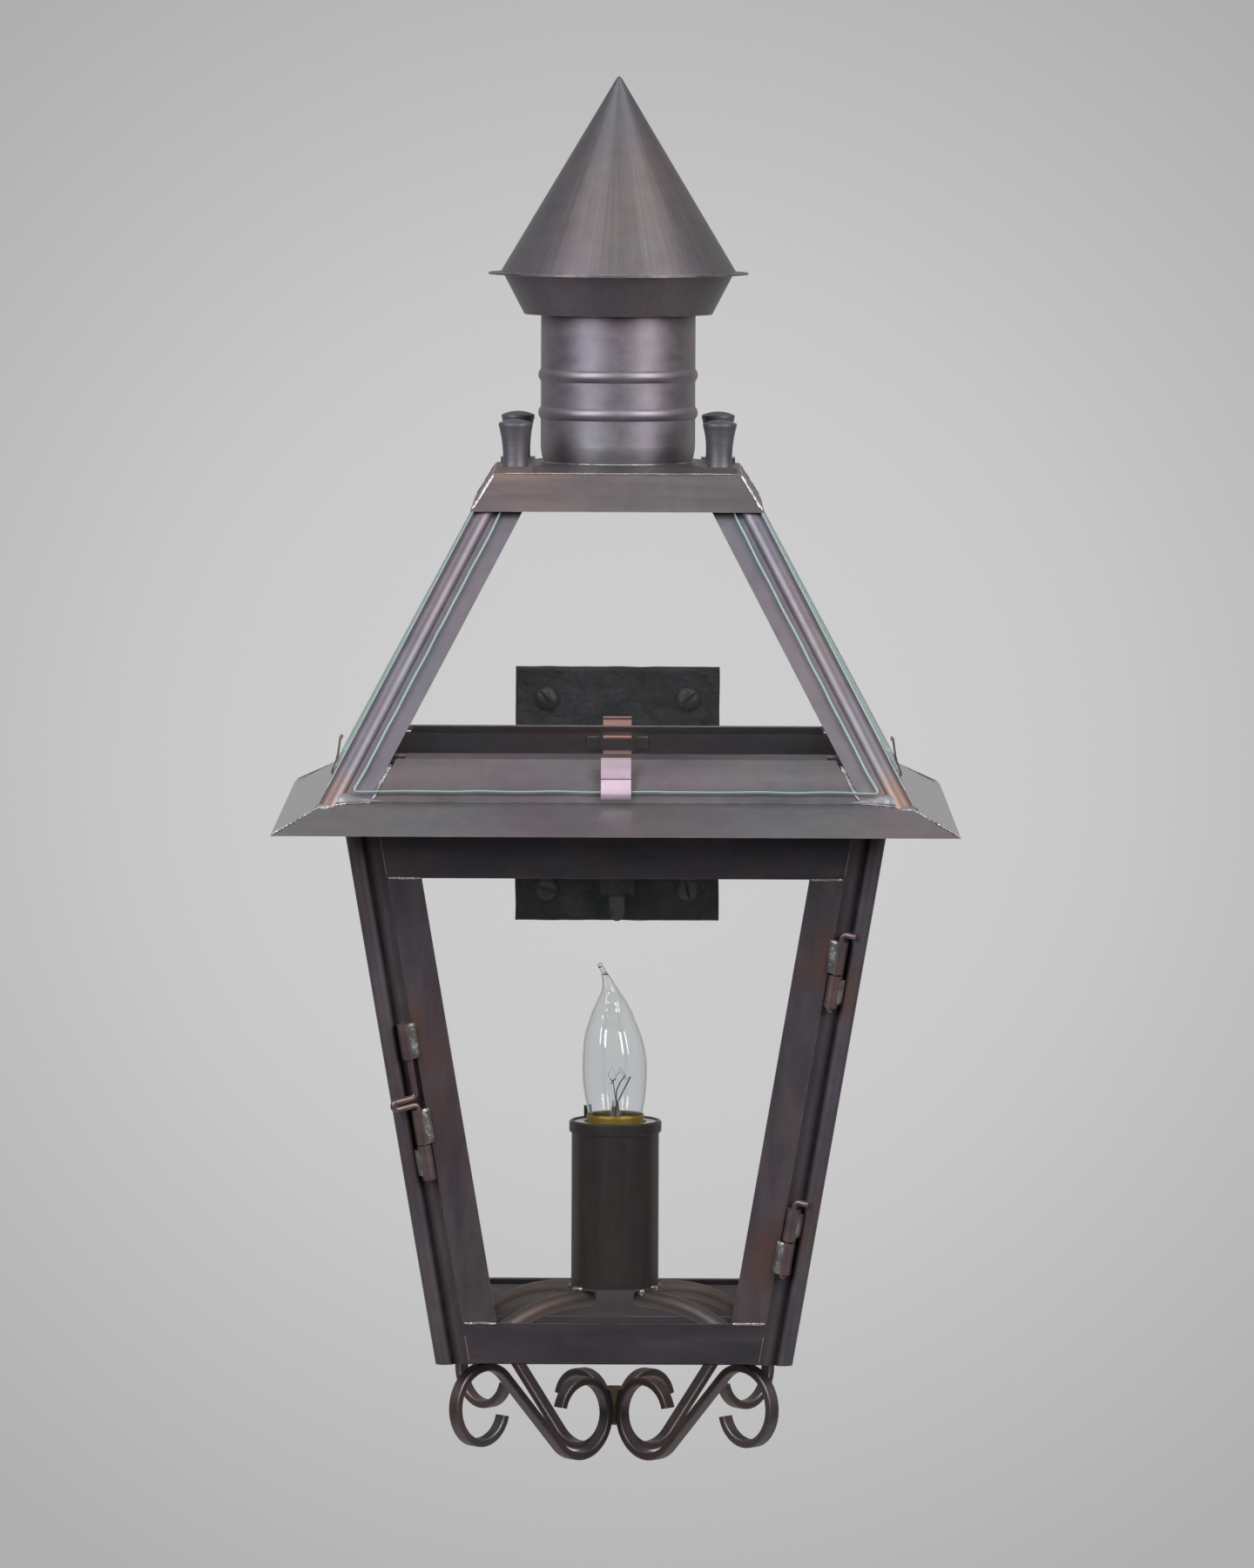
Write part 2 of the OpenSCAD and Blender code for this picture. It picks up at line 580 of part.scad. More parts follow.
// Four bent straps carry the cap on the chimney
strap_w = 8;
strap_lap = 8;                     // length of strap against the chimney
strap_rise = 6;                    // height of its leg against the skirt
module cap_straps() color(patina) lantern() for (k = [0:3]) rotate([0, 0, 90 * k + 45]) {
    slope = (skirt_top_r - skirt_low_r) / skirt_h;
    wall = chimney_r + sheet / 2 + seat;
    low = chimney_foot + chimney_h - strap_lap;
    meet = skirt_z + skirt_h * 0.45;
    skirt_in = skirt_low_r + (meet - skirt_z) * slope - 1.7 * sheet - seat;
    rotate([90, 0, 0]) translate([0, 0, -strap_w / 2]) linear_extrude(height = strap_w)
        strip([[wall, low], [wall, low + strap_lap * 0.6], [skirt_in, meet],
            [skirt_in + slope * strap_rise, meet + strap_rise]], sheet);
}
module cap_skirt() color(patina) lantern() translate([0, 0, skirt_z]) difference() {
    cylinder(r1 = skirt_low_r, r2 = skirt_top_r, h = skirt_h);
    translate([0, 0, -0.01])
        cylinder(r1 = skirt_low_r - sheet, r2 = skirt_top_r - sheet, h = skirt_h + 0.02);
}
module cap_cone() color(patina) lantern() translate([0, 0, brim_z]) rotate_extrude() {
    tip = 1.2;
    wall = 1.3 * sheet;
    polygon([[skirt_low_r, 0], [brim_r, 0], [brim_r, sheet], [cone_r, sheet],
        [tip, cone_h - 1], [0, cone_h], [0, cone_h - 3 * wall], [cone_r - wall, sheet], [skirt_low_r, sheet]]);
}

// Door: two stiles between two full-width rails. Each is a flat strip with its outer edge
// folded back towards the post flanges
door_face_z = 0.4;
door_back_z = -post_recess + free_gap;
door_bot_y = 1.2;
door_top_y = up_body(eave_z) - 1.8;
module door_strip(outline, fold) {
    translate([0, 0, door_face_z - sheet]) linear_extrude(height = sheet) polygon(outline);
    translate([0, 0, door_back_z]) linear_extrude(height = door_face_z - door_back_z) polygon(fold);
}
function band(y0, y1, s0, s1) =
    [[body_x(y0, s0), y0], [body_x(y0, s1), y0], [body_x(y1, s1), y1], [body_x(y1, s0), y1]];
function across(y0, y1, s) =
    [[-body_x(y0, s), y0], [body_x(y0, s), y0], [body_x(y1, s), y1], [-body_x(y1, s), y1]];
module stile() {
    y0 = door_bot_y + door_bot_h;
    y1 = door_top_y - door_top_h;
    door_strip(band(y0, y1, door_inset, door_inset + stile_w), band(y0, y1, door_inset, door_inset + sheet));
}
module door_hinge_stile() color(patina) body_face(0) stile();
module door_latch_stile() color(patina) body_face(0) mirror([1, 0, 0]) stile();
module door_rail(y0, y1, fold0, fold1) {
    door_strip(across(y0, y1, door_inset), across(fold0, fold1, door_inset));
    for (m = [0, 1]) mirror([m, 0, 0])
        door_strip(band(y0, y1, door_inset, door_inset + sheet), band(y0, y1, door_inset, door_inset + sheet));
}
module door_top_rail() color(patina) body_face(0)
    door_rail(door_top_y - door_top_h, door_top_y, door_top_y - sheet, door_top_y);
module door_bottom_rail() color(patina) body_face(0)
    door_rail(door_bot_y, door_bot_y + door_bot_h, door_bot_y, door_bot_y + sheet);
door_glass_in = 6;                 // from the door's outer edge to the edge of its glass
door_glass_z = door_face_z - sheet - seat;
module door_glass() color(clear) body_face(0)
    body_plate(flange_w + 1.5, door_bot_y + door_glass_in, door_top_y - door_glass_in, door_glass_z - glass_t, door_glass_z);
// Tabs on the door's rails, bent over the inner side of its glass
module door_tabs() color(bright_copper) for (m = [-1, 1], end = [0, 1]) {
    y = end == 0 ? door_bot_y + 1.6 : door_top_y - 1.6;
    up = end == 0 ? 1 : -1;
    x = m * tab_at * (end == 0 ? body_bot_half : body_top_half);
    on_rail = door_face_z - sheet - tab_t / 2 - seat / 2;
    on_glass = door_glass_z - glass_t - tab_t / 2 - seat / 2;
    body_face(0) translate([x - tab_w / 2, 0, 0]) rotate([90, 0, 90]) linear_extrude(height = tab_w)
        strip([[y, on_rail], [y + up * (door_glass_in - 3), on_rail], [y + up * (door_glass_in - 3), on_glass],
            [y + up * (door_glass_in + 3), on_glass]], tab_t);
}

// Hinge and latch tubes lie along the valley between the post's bead and the door's edge
tube_s = door_inset - tube_r - 0.55;
tube_z = -post_recess + tube_r + 0.05;
// Children are drawn along +Z from distance y up the face, on the right or mirrored to the left
module edge_line(y, left) body_face(0) mirror([left, 0, 0])
    translate([body_x(y, tube_s), y, tube_z]) rotate([0, 0, -body_edge]) rotate([-90, 0, 0]) children();
module tube(h, bore) difference() {
    cylinder(r = tube_r, h = h);
    translate([0, 0, -1]) cylinder(r = bore, h = h + 2);
}
// Solder web from a tube to the door's edge, or to the post's bead
module web(h, bore, to_door) difference() {
    if (to_door)
        translate([-tube_r - 0.5, -0.4, 0]) cube([tube_r, post_recess - free_gap - 0.2, h]);
    else
        linear_extrude(height = h) polygon([[0.4, post_recess + 0.4], [0.4, -1.2], [bead_reach, 3],
            [bead_reach - 0.6, post_recess + 0.4]]);
    translate([0, 0, -1]) cylinder(r = (tube_r + bore) / 2, h = h + 2);
}
bead_reach = 3.9;
module door_tube(h, bore) {
    tube(h, bore);
    web(h, bore, true);
}
module post_tube(h, bore) {
    tube(h, bore);
    translate([0, 0, h * 0.12]) web(h * 0.76, bore, false);
}
joint_gap = 0.4;
pin_bore = pin_r + run;
function hinge_y(below) = up_body(eave_z - below);
module door_knuckles() color(patina) {
    edge_line(hinge_y(hinge_high) + joint_gap, 0) door_tube(knuckle_h, pin_bore);
    edge_line(hinge_y(hinge_low) - joint_gap - knuckle_h, 0) door_tube(knuckle_h, pin_bore);
}
module post_knuckles() color(patina) {
    edge_line(hinge_y(hinge_high) - joint_gap - knuckle_h, 0) post_tube(knuckle_h, pin_bore);
    edge_line(hinge_y(hinge_low) + joint_gap, 0) post_tube(knuckle_h, pin_bore);
}
// A pin hooks over to the post at its top and ends in a small bead below
hook_r = 2.4;
hook_leg = 3;
module hinge_pin() {
    below = 1.6;
    above = 0.9;
    length = 2 * (knuckle_h + joint_gap) + below + above;
    translate([0, 0, -length / 2]) cylinder(r = pin_r, h = length);
    translate([0, 0, -length / 2]) sphere(r = pin_r + 0.3);
    translate([hook_r, 0, length / 2]) rotate([90, 0, 0]) rotate([0, 0, 90]) rotate_extrude(angle = 90)
        translate([hook_r, 0]) circle(r = pin_r);
    translate([hook_r, 0, length / 2 + hook_r]) rotate([0, 90, 0]) cylinder(r = pin_r, h = hook_leg);
    translate([hook_r + hook_leg, 0, length / 2 + hook_r]) sphere(r = pin_r);
}
module hinge_pins() color(patina) for (below = [hinge_high, hinge_low])
    edge_line(hinge_y(below), 0) rotate([0, 0, -25]) hinge_pin();

// Latch: a rod with a hairpin handle slides in two guides on the door, into a keeper on the post
rod_bore = rod_r + run;
keeper_top = up_body(eave_z - keeper_at);
guide_low = keeper_top + free_gap + 0.1;
guide_high = guide_low + guide_h + guide_gap;
latch_lift = 14;                   // travel of the rod
bolt_in = 12;                      // length of rod inside the keeper
module latch_guides() color(patina) {
    edge_line(guide_low, 1) door_tube(guide_h, rod_bore);
    edge_line(guide_high, 1) door_tube(guide_h, rod_bore);
}
module latch_keeper() color(patina) edge_line(keeper_top - guide_h, 1) post_tube(guide_h, rod_bore);
// The rod is bent out sideways, back on itself and down again, tilted clear of the bead
bend_r = 2.2;
leg_step = 2 * rod_r + 0.4;
handle_tilt = 22;
handle_low = guide_h + free_gap + rod_r + 0.4;   // height of the lower leg above the guide's foot
module rod_bend(r, sweep) rotate([90, 0, 0]) rotate_extrude(angle = sweep) translate([r, 0]) circle(r = rod_r);
module latch_bolt() color(patina) edge_line(guide_low, 1) rotate([0, 0, -handle_tilt]) {
    leg = handle_reach - bend_r - leg_step / 2 - rod_r;
    high = handle_low + leg_step;
    top = guide_h + guide_gap + guide_h - 1.2;
    translate([0, 0, -bolt_in - free_gap]) cylinder(r = rod_r, h = handle_low - bend_r + bolt_in + free_gap);
    translate([bend_r, 0, handle_low - bend_r]) rotate([0, -90, 0]) rod_bend(bend_r, 90);
    translate([bend_r, 0, high + bend_r]) rotate([0, 180, 0]) rod_bend(bend_r, 90);
    for (z = [handle_low, high]) translate([bend_r, 0, z]) rotate([0, 90, 0]) cylinder(r = rod_r, h = leg);
    translate([bend_r + leg, 0, handle_low + leg_step / 2]) rotate([0, 90, 0]) rod_bend(leg_step / 2, 180);
    translate([0, 0, high + bend_r]) cylinder(r = rod_r, h = top - high - bend_r);
}

// Candle: four arched tubes rise from the bottom frame to a round plate
plate_thin = 1;
arm_z = candle_z - plate_thin - arm_r;
arm_start = 18;
arm_straight = 10;
module support_arms() color(patina) intersection() {
    for (k = [0:3]) corner_plane(k) {
        sweep = 50;
        translate([arm_start, arm_z, 0]) sphere(r = arm_r);
        translate([arm_start, arm_z, 0]) rotate([0, 90, 0]) cylinder(r = arm_r, h = arm_straight);
        translate([arm_start + arm_straight, arm_z - arm_bend_r, 0]) mirror([1, 0, 0]) rotate([0, 0, 90])
            rotate_extrude(angle = sweep) translate([arm_bend_r, 0]) circle(r = arm_r);
    }
    layer(floor_top, candle_z);
}
nipple_r = 5;
socket_foot = 15;                  // height of the nipple above the plate
module arm_plate() color(patina) lantern() {
    translate([0, 0, candle_z - plate_thin]) cylinder(r = cover_r + 1.7, h = plate_thin);
    translate([0, 0, candle_z]) difference() {
        cylinder(r = nipple_r, h = socket_foot);
        translate([0, 0, 1]) cylinder(r = nipple_r - 1.5, h = socket_foot);
    }
}
cover_wall = 1.2;
rim_h = 6;
cover_top = candle_z + cover_h;
module candle_cover() color("#4a4238") lantern() {
    tab_turn = 132.6;
    translate([0, 0, candle_z]) rotate_extrude() polygon(concat(
        [[cover_r - cover_wall, 0], [cover_r, 0], [cover_r, cover_h - rim_h]],
        bow([cover_r, cover_h - rim_h], [cover_rim_r, cover_h - rim_h + 1], 0.2, 3),
        [[cover_rim_r, cover_h - 0.8], [cover_rim_r - 0.8, cover_h], [cover_rim_r - cover_wall - 0.4, cover_h],
            [cover_r - cover_wall, cover_h - 1.4]]));
    rotate([0, 0, tab_turn]) translate([cover_r - cover_wall, -1.3, cover_top - 3])
        cube([cover_wall, 2.6, 8.3]);
}
// Lampholder inside the cover, with a white ring on top of it
socket_r = cover_r - cover_wall - 0.6;
socket_bore = lamp_r + 1.1;
ring_z = cover_top - 2.4;
ring_t = 1.6;
module lamp_socket() color("#d8d4c8") lantern() difference() {
    translate([0, 0, candle_z + socket_foot]) cylinder(r = socket_r, h = ring_z - candle_z - socket_foot);
    translate([0, 0, candle_z + socket_foot + 10]) cylinder(r = socket_bore, h = cover_h);
}
module cover_ring() color("white") lantern() translate([0, 0, ring_z]) difference() {
    cylinder(r = socket_r + 0.5, h = ring_t);
    translate([0, 0, -1]) cylinder(r = socket_bore + 0.6, h = ring_t + 2);
}
shell_low = candle_z + socket_foot + 10;
module socket_shell() color("#b59a5a") lantern() translate([0, 0, shell_low]) difference() {
    shell_h = ring_z - 13 - shell_low;
    cylinder(r = socket_bore - seat, h = shell_h);
    translate([0, 0, 1]) cylinder(r = lamp_r + free_gap, h = shell_h);
}
// Bulb: contact tip, screw shell, cement collar, bent-tip glass, and its stem with the filament
bulb_foot = shell_low + 1 + free_gap;
bulb_z = cover_top + 0.9;          // lower edge of the bulb's glass
collar_h = 5;
module bulb_base() color("#b59a5a") lantern() translate([0, 0, bulb_foot]) {
    tip_h = 4;
    rotate_extrude() polygon(concat([[0, 0], [3.5, 0], [4.5, 1.5], [lamp_r - 4, tip_h]],
        [for (i = [0:6], s = [0, 1]) [lamp_r - (s == 0 ? 0.8 : 0), tip_h + 1.5 + 3.6 * i + 1.8 * s]],
        [[lamp_r - 0.4, bulb_z - collar_h - bulb_foot], [0, bulb_z - collar_h - bulb_foot]]));
}
neck_r = bulb_r * 0.84;
module bulb_collar() color("#a8842c") lantern() translate([0, 0, bulb_z - collar_h]) difference() {
    cylinder(r = neck_r + 0.5, h = collar_h);
    translate([0, 0, 1]) cylinder(r = neck_r - 1, h = collar_h);
}
// Radius and sideways shift of the glass at share t of its height
function flame_r(t) =
    let (tip_r = 1.7, belly = 0.3, u = min(1, max(0, (t - belly) / 0.65)))
    (t < belly ? bulb_r - (bulb_r - neck_r) * pow((belly - t) / belly, 2)
        : tip_r + (bulb_r - tip_r) * pow((1 + cos(180 * u)) / 2, 0.66))
        * (t > 0.955 ? sqrt(max(0, 1 - pow((t - 0.955) / 0.045, 2))) : 1);
function flame_x(t) = -tip_bend * pow(max(0, (t - 0.35) / 0.65), 2.4);
flame_rings = 26;
flame_sides = 32;
flame_wall = 0.7;
function flame_ring(i, g) =
    let (t = min(0.998, i / flame_rings))
    [for (j = [0:flame_sides - 1]) let (a = 360 * j / flame_sides, r = max(0.15, flame_r(t) - g))
        [flame_x(t) + r * cos(a), r * sin(a), bulb_h * t - (i == flame_rings ? g : 0)]];
// Skin between rings of points, outward when out is true
function skin(first, rings, out) = [for (i = [0:rings - 1], j = [0:flame_sides - 1])
    let (a = first + i * flame_sides + j, b = first + i * flame_sides + (j + 1) % flame_sides,
        c = b + flame_sides, d = a + flame_sides)
    each (out ? [[a, c, b], [a, d, c]] : [[a, b, c], [a, c, d]])];
module bulb_glass() color("#e8eceb66") lantern() translate([0, 0, bulb_z]) {
    n = flame_rings;
    m = n - 1;
    shift = (n + 1) * flame_sides;
    last = shift + m * flame_sides;
    points = concat([for (i = [0:n]) each flame_ring(i, 0)], [for (i = [0:m]) each flame_ring(i, flame_wall)]);
    faces = concat(skin(0, n, true), skin(shift, m, false),
        [[for (j = [0:flame_sides - 1]) n * flame_sides + flame_sides - 1 - j]],
        [[for (j = [0:flame_sides - 1]) last + j]],
        [for (j = [0:flame_sides - 1]) let (k = (j + 1) % flame_sides) each [[j, k, shift + k], [j, shift + k, shift + j]]]);
    polyhedron(points, faces);
}
// Stem, two lead wires, a support wire and the filament between them
stem_h = 12;
lead_r = 0.35;
filament_z = 34;
module bulb_stem() color("#8c8c88") lantern() translate([0, 0, bulb_z - collar_h + 1 + seat]) {
    spread = 6;
    cylinder(r1 = 7, r2 = 2.2, h = 5);
    cylinder(r = 2.2, h = stem_h);
    for (m = [-1, 1]) translate([m * 1.2, 0, stem_h - 2]) rotate([0, m * atan((spread - 1.2) / (filament_z - stem_h)), 0])
        cylinder(r = lead_r, h = filament_z - stem_h + 3);
    cylinder(r = lead_r, h = filament_z + 6);
    for (m = [-1, 1]) translate([0, 0, filament_z + 6 - lead_r]) rotate([0, m * (180 - atan(spread / 6)), 0])
        cylinder(r = 0.3, h = norm([spread, 6]));
}

// Scrolls: an S of rounded flat bar in each diagonal plane, curled at both ends
scroll_slope = atan2(0.716722, 0.697359);
curl_top = body_bot - boss_h - seat - scroll_t / 2 - curl_r;
curl_drop = curl_run * sin(scroll_slope) - 2 * curl_r * cos(scroll_slope);
curl_end_sweep = 122;
boss_at = curl_at + curl_run * cos(scroll_slope) + 2 * curl_r * sin(scroll_slope);
module bar_section() intersection() {
    square([scroll_t, scroll_w], center = true);
    circle(r = scroll_w * 0.54);
}
// A curl about its centre; the straight leaves it at angle 90
module curl() {
    rotate([0, 0, 90]) mirror([0, 1, 0])
        rotate_extrude(angle = 180) translate([curl_r, 0]) bar_section();
    translate([0, curl_end_r - curl_r, 0]) rotate([0, 0, -90]) mirror([0, 1, 0])
        rotate_extrude(angle = curl_end_sweep) translate([curl_end_r, 0]) bar_section();
}
// The middle of the straight is at the origin, and the straight runs along x
module scroll() {
    for (turn = [0, 180]) rotate([0, 0, turn]) translate([curl_run / 2, -curl_r, 0]) curl();
    translate([-curl_run / 2, 0, 0]) rotate([0, 90, 0])
        linear_extrude(height = curl_run) rotate([0, 0, 90]) bar_section();
}
module scrolls() color(patina) for (k = [0:3]) corner_plane(k) {
    middle = [curl_at, curl_top - curl_drop / 2]
        + [curl_run / 2 * cos(scroll_slope) + curl_r * sin(scroll_slope), 0];
    intersection() {
        translate([middle[0], middle[1], 0]) rotate([0, 0, scroll_slope]) scroll();
        // The inner curls are mitred against each other
        rotate([90, 0, 0]) translate([0, 0, -far]) linear_extrude(height = 2 * far)
            polygon([[seat, 0], [far, far - seat], [far, seat - far]]);
    }
}
// Braze fills the gap between the four inner curls
module scroll_braze() color(bright_copper) lantern() translate([0, 0, curl_top - curl_drop]) {
    outer_r = curl_r + scroll_t / 2;
    low = -0.28 * curl_r;
    high = 0.68 * curl_r;
    rotate_extrude() polygon(concat([[0, low - 1.2]],
        [for (i = [0:10]) let (h = low + (high - low) * i / 10)
            [max(seat, curl_at - sqrt(outer_r * outer_r - h * h) - seat), h]],
        [[2, high - 2], [0, high - 2.2]]));
}

wall_plate();
wall_screws();
wall_sleeve();
hanger_bar();
hanger_pad();
post(0);  // post_front_right
post(1);  // post_back_right
post(2);  // post_back_left
post(3);  // post_front_left
top_frame();
bottom_frame();
side_rails();
pane(1);  // right_pane
pane(2);  // back_pane
pane(3);  // left_pane
pane_tabs();
eave_skirt();
rib(0);  // rib_front_right
rib(1);  // rib_back_right
rib(2);  // rib_back_left
rib(3);  // rib_front_left
roof_top_rails();
roof_strips();
roof_pane(0);  // roof_pane_front
roof_pane(1);  // roof_pane_right
roof_pane(2);  // roof_pane_back
roof_pane(3);  // roof_pane_left
glass_clips();
clip_bridges();
crown_box();
knob_plates();
corner_knobs();
chimney();
cap_straps();
cap_skirt();
cap_cone();
door_top_rail();
door_bottom_rail();
door_hinge_stile();
door_latch_stile();
door_glass();
door_tabs();
door_knuckles();
post_knuckles();
hinge_pins();
latch_guides();
latch_keeper();
latch_bolt();
support_arms();
arm_plate();
candle_cover();
cover_ring();
lamp_socket();
socket_shell();
bulb_base();
bulb_collar();
bulb_glass();
bulb_stem();
scrolls();
scroll_braze();
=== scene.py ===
import json
import math

import bpy
from mathutils import Matrix, Vector, noise


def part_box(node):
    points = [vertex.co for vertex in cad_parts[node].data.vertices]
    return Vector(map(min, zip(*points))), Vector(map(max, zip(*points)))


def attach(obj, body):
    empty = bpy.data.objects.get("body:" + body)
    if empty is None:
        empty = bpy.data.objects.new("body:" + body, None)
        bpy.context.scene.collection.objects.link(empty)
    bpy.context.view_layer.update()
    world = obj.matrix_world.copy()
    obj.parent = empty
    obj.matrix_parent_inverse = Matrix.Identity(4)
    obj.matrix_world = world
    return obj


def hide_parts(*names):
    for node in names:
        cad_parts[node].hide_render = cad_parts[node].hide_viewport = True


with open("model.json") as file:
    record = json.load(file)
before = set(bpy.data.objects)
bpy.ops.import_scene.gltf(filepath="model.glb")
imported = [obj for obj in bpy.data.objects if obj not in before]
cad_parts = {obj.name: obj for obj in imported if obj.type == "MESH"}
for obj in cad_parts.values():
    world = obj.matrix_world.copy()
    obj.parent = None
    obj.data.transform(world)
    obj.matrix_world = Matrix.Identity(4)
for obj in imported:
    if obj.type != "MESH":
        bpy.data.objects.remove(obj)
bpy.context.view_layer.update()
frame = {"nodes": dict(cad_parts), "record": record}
nodes = frame["nodes"]
record = frame["record"]
print("stage: frame loaded,", len(nodes), "nodes")

# The lantern's axis stands at x = 0 and passes through the middle of the chimney
chimneyLow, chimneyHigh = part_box("chimney")
axisY = (chimneyLow[1] + chimneyHigh[1]) / 2
axis = Vector((0, axisY, 0))

# Camera, solved from the picture's parallel edges, in metres and pixels of the picture
view = {
    "imageW": 1440,
    "imageH": 1800,
    "focalPx": 10915,
    "distance": 4.541,  # from the lantern's axis
    "side": 0.0104,
    "height": 0.3834,
    "horizonPx": 22.9,
    "vanishPx": 733,
    "roll": 0.22,  # degrees
    "sensor": 36,  # millimetres
    "farthest": 60,
}


def addObject(name, data):
    obj = bpy.data.objects.new(name, data)
    bpy.context.collection.objects.link(obj)
    return obj


def makeCamera():
    data = bpy.data.cameras.new("camera")
    data.sensor_fit = "AUTO"
    data.sensor_width = view["sensor"]
    data.lens = view["focalPx"] * view["sensor"] / view["imageH"]
    data.clip_end = view["farthest"]
    camera = addObject("camera", data)
    pitch = math.atan((view["imageH"] / 2 - view["horizonPx"]) / view["focalPx"])
    yaw = math.atan((view["vanishPx"] - view["imageW"] / 2) / view["focalPx"])
    turn = Matrix.Rotation(yaw, 4, "Z") @ Matrix.Rotation(math.pi / 2 - pitch, 4, "X")
    turn = turn @ Matrix.Rotation(math.radians(view["roll"]), 4, "Z")
    camera.matrix_world = Matrix.Translation((view["side"], axisY - view["distance"], view["height"])) @ turn
    bpy.context.scene.camera = camera


makeCamera()
bpy.context.scene.view_settings.view_transform = "Standard"


# Node helpers. A value is either a socket to link or a number or colour to set
def addNode(tree, kind, values=(), **settings):
    n = tree.nodes.new(kind)
    for key, value in settings.items():
        setattr(n, key, value)
    for key, value in dict(values).items():
        if isinstance(value, bpy.types.NodeSocket):
            tree.links.new(value, n.inputs[key])
        else:
            n.inputs[key].default_value = value
    return n


def mixColor(tree, fac, a, b, blend="MIX"):
    return addNode(tree, "ShaderNodeMix", {0: fac, 6: a, 7: b}, data_type="RGBA", blend_type=blend).outputs[2]


def ramp(tree, value, low, high, toLow=0.0, toHigh=1.0):
    values = {"Value": value, "From Min": low, "From Max": high, "To Min": toLow, "To Max": toHigh}
    return addNode(tree, "ShaderNodeMapRange", values).outputs["Result"]


def calc(tree, operation, a, b=0.0):
    return addNode(tree, "ShaderNodeMath", {0: a, 1: b}, operation=operation).outputs[0]


def vectorCalc(tree, operation, *values):
    return addNode(tree, "ShaderNodeVectorMath", dict(enumerate(values)), operation=operation).outputs


def splitVector(tree, value):
    return addNode(tree, "ShaderNodeSeparateXYZ", {0: value}).outputs


def joinVector(tree, values):
    return addNode(tree, "ShaderNodeCombineXYZ", values).outputs[0]


def noiseTexture(tree, place, scale, detail, roughness=0.5):
    values = {"Vector": place, "Scale": scale, "Detail": detail, "Roughness": roughness}
    return addNode(tree, "ShaderNodeTexNoise", values).outputs


def bump(tree, height, strength, distance, under=None):
    values = {"Height": height, "Strength": strength, "Distance": distance}
    if under is not None:
        values["Normal"] = under
    return addNode(tree, "ShaderNodeBump", values).outputs[0]


def objectPlace(tree):
    return tree.nodes.new("ShaderNodeTexCoord").outputs["Object"]


def rgb(r, g, b):
    return (r, g, b, 1)


def colorRamp(tree, value, levels, blue=1.0):
    n = tree.nodes.new("ShaderNodeValToRGB")
    tree.links.new(value, n.inputs[0])
    while len(n.color_ramp.elements) < len(levels):
        n.color_ramp.elements.new(0.5)
    for element, (at, level) in zip(n.color_ramp.elements, levels):
        element.position = at
        element.color = rgb(level, level, level * blue)
    return n.outputs[0]


def newMaterial(name):
    mat = bpy.data.materials.new(name)
    mat.use_nodes = True
    mat.node_tree.nodes.clear()
    return mat, mat.node_tree


def toSurface(tree, shader):
    out = tree.nodes.new("ShaderNodeOutputMaterial")
    tree.links.new(shader.outputs[0], out.inputs[0])


def group(name, ins, outs):
    tree = bpy.data.node_groups.new(name, "ShaderNodeTree")
    kinds = {"c": "NodeSocketColor", "f": "NodeSocketFloat", "v": "NodeSocketVector"}
    for label, kind, value in ins:
        socket = tree.interface.new_socket(label, in_out="INPUT", socket_type=kinds[kind])
        if value is not None:
            socket.default_value = value
    for label, kind in outs:
        tree.interface.new_socket(label, in_out="OUTPUT", socket_type=kinds[kind])
    return tree, tree.nodes.new("NodeGroupInput").outputs, tree.nodes.new("NodeGroupOutput").inputs


def useGroup(tree, shared, values):
    return addNode(tree, "ShaderNodeGroup", values, node_tree=shared).outputs


# Patina: scales of its noises, then how much each moves the colour, the gloss and the surface
clouds = {
    "big": 16.0,
    "fine": 110.0,
    "grain": 1100.0,
    "streaks": 40.0,
    "soot": rgb(0.02, 0.018, 0.02),
    # dark: near black, mixed in by Dark, as painted shade in the posts' grooves and as the side clips' own
    # darker colour
    "dark": rgb(0.02, 0.017, 0.02),
    "specks": 0.1,
    "edgeWidth": 0.0006,
    "driftShare": (0.3, 0.3, 0.3),
    "driftBase": (0.86, 0.84, 0.86),
}


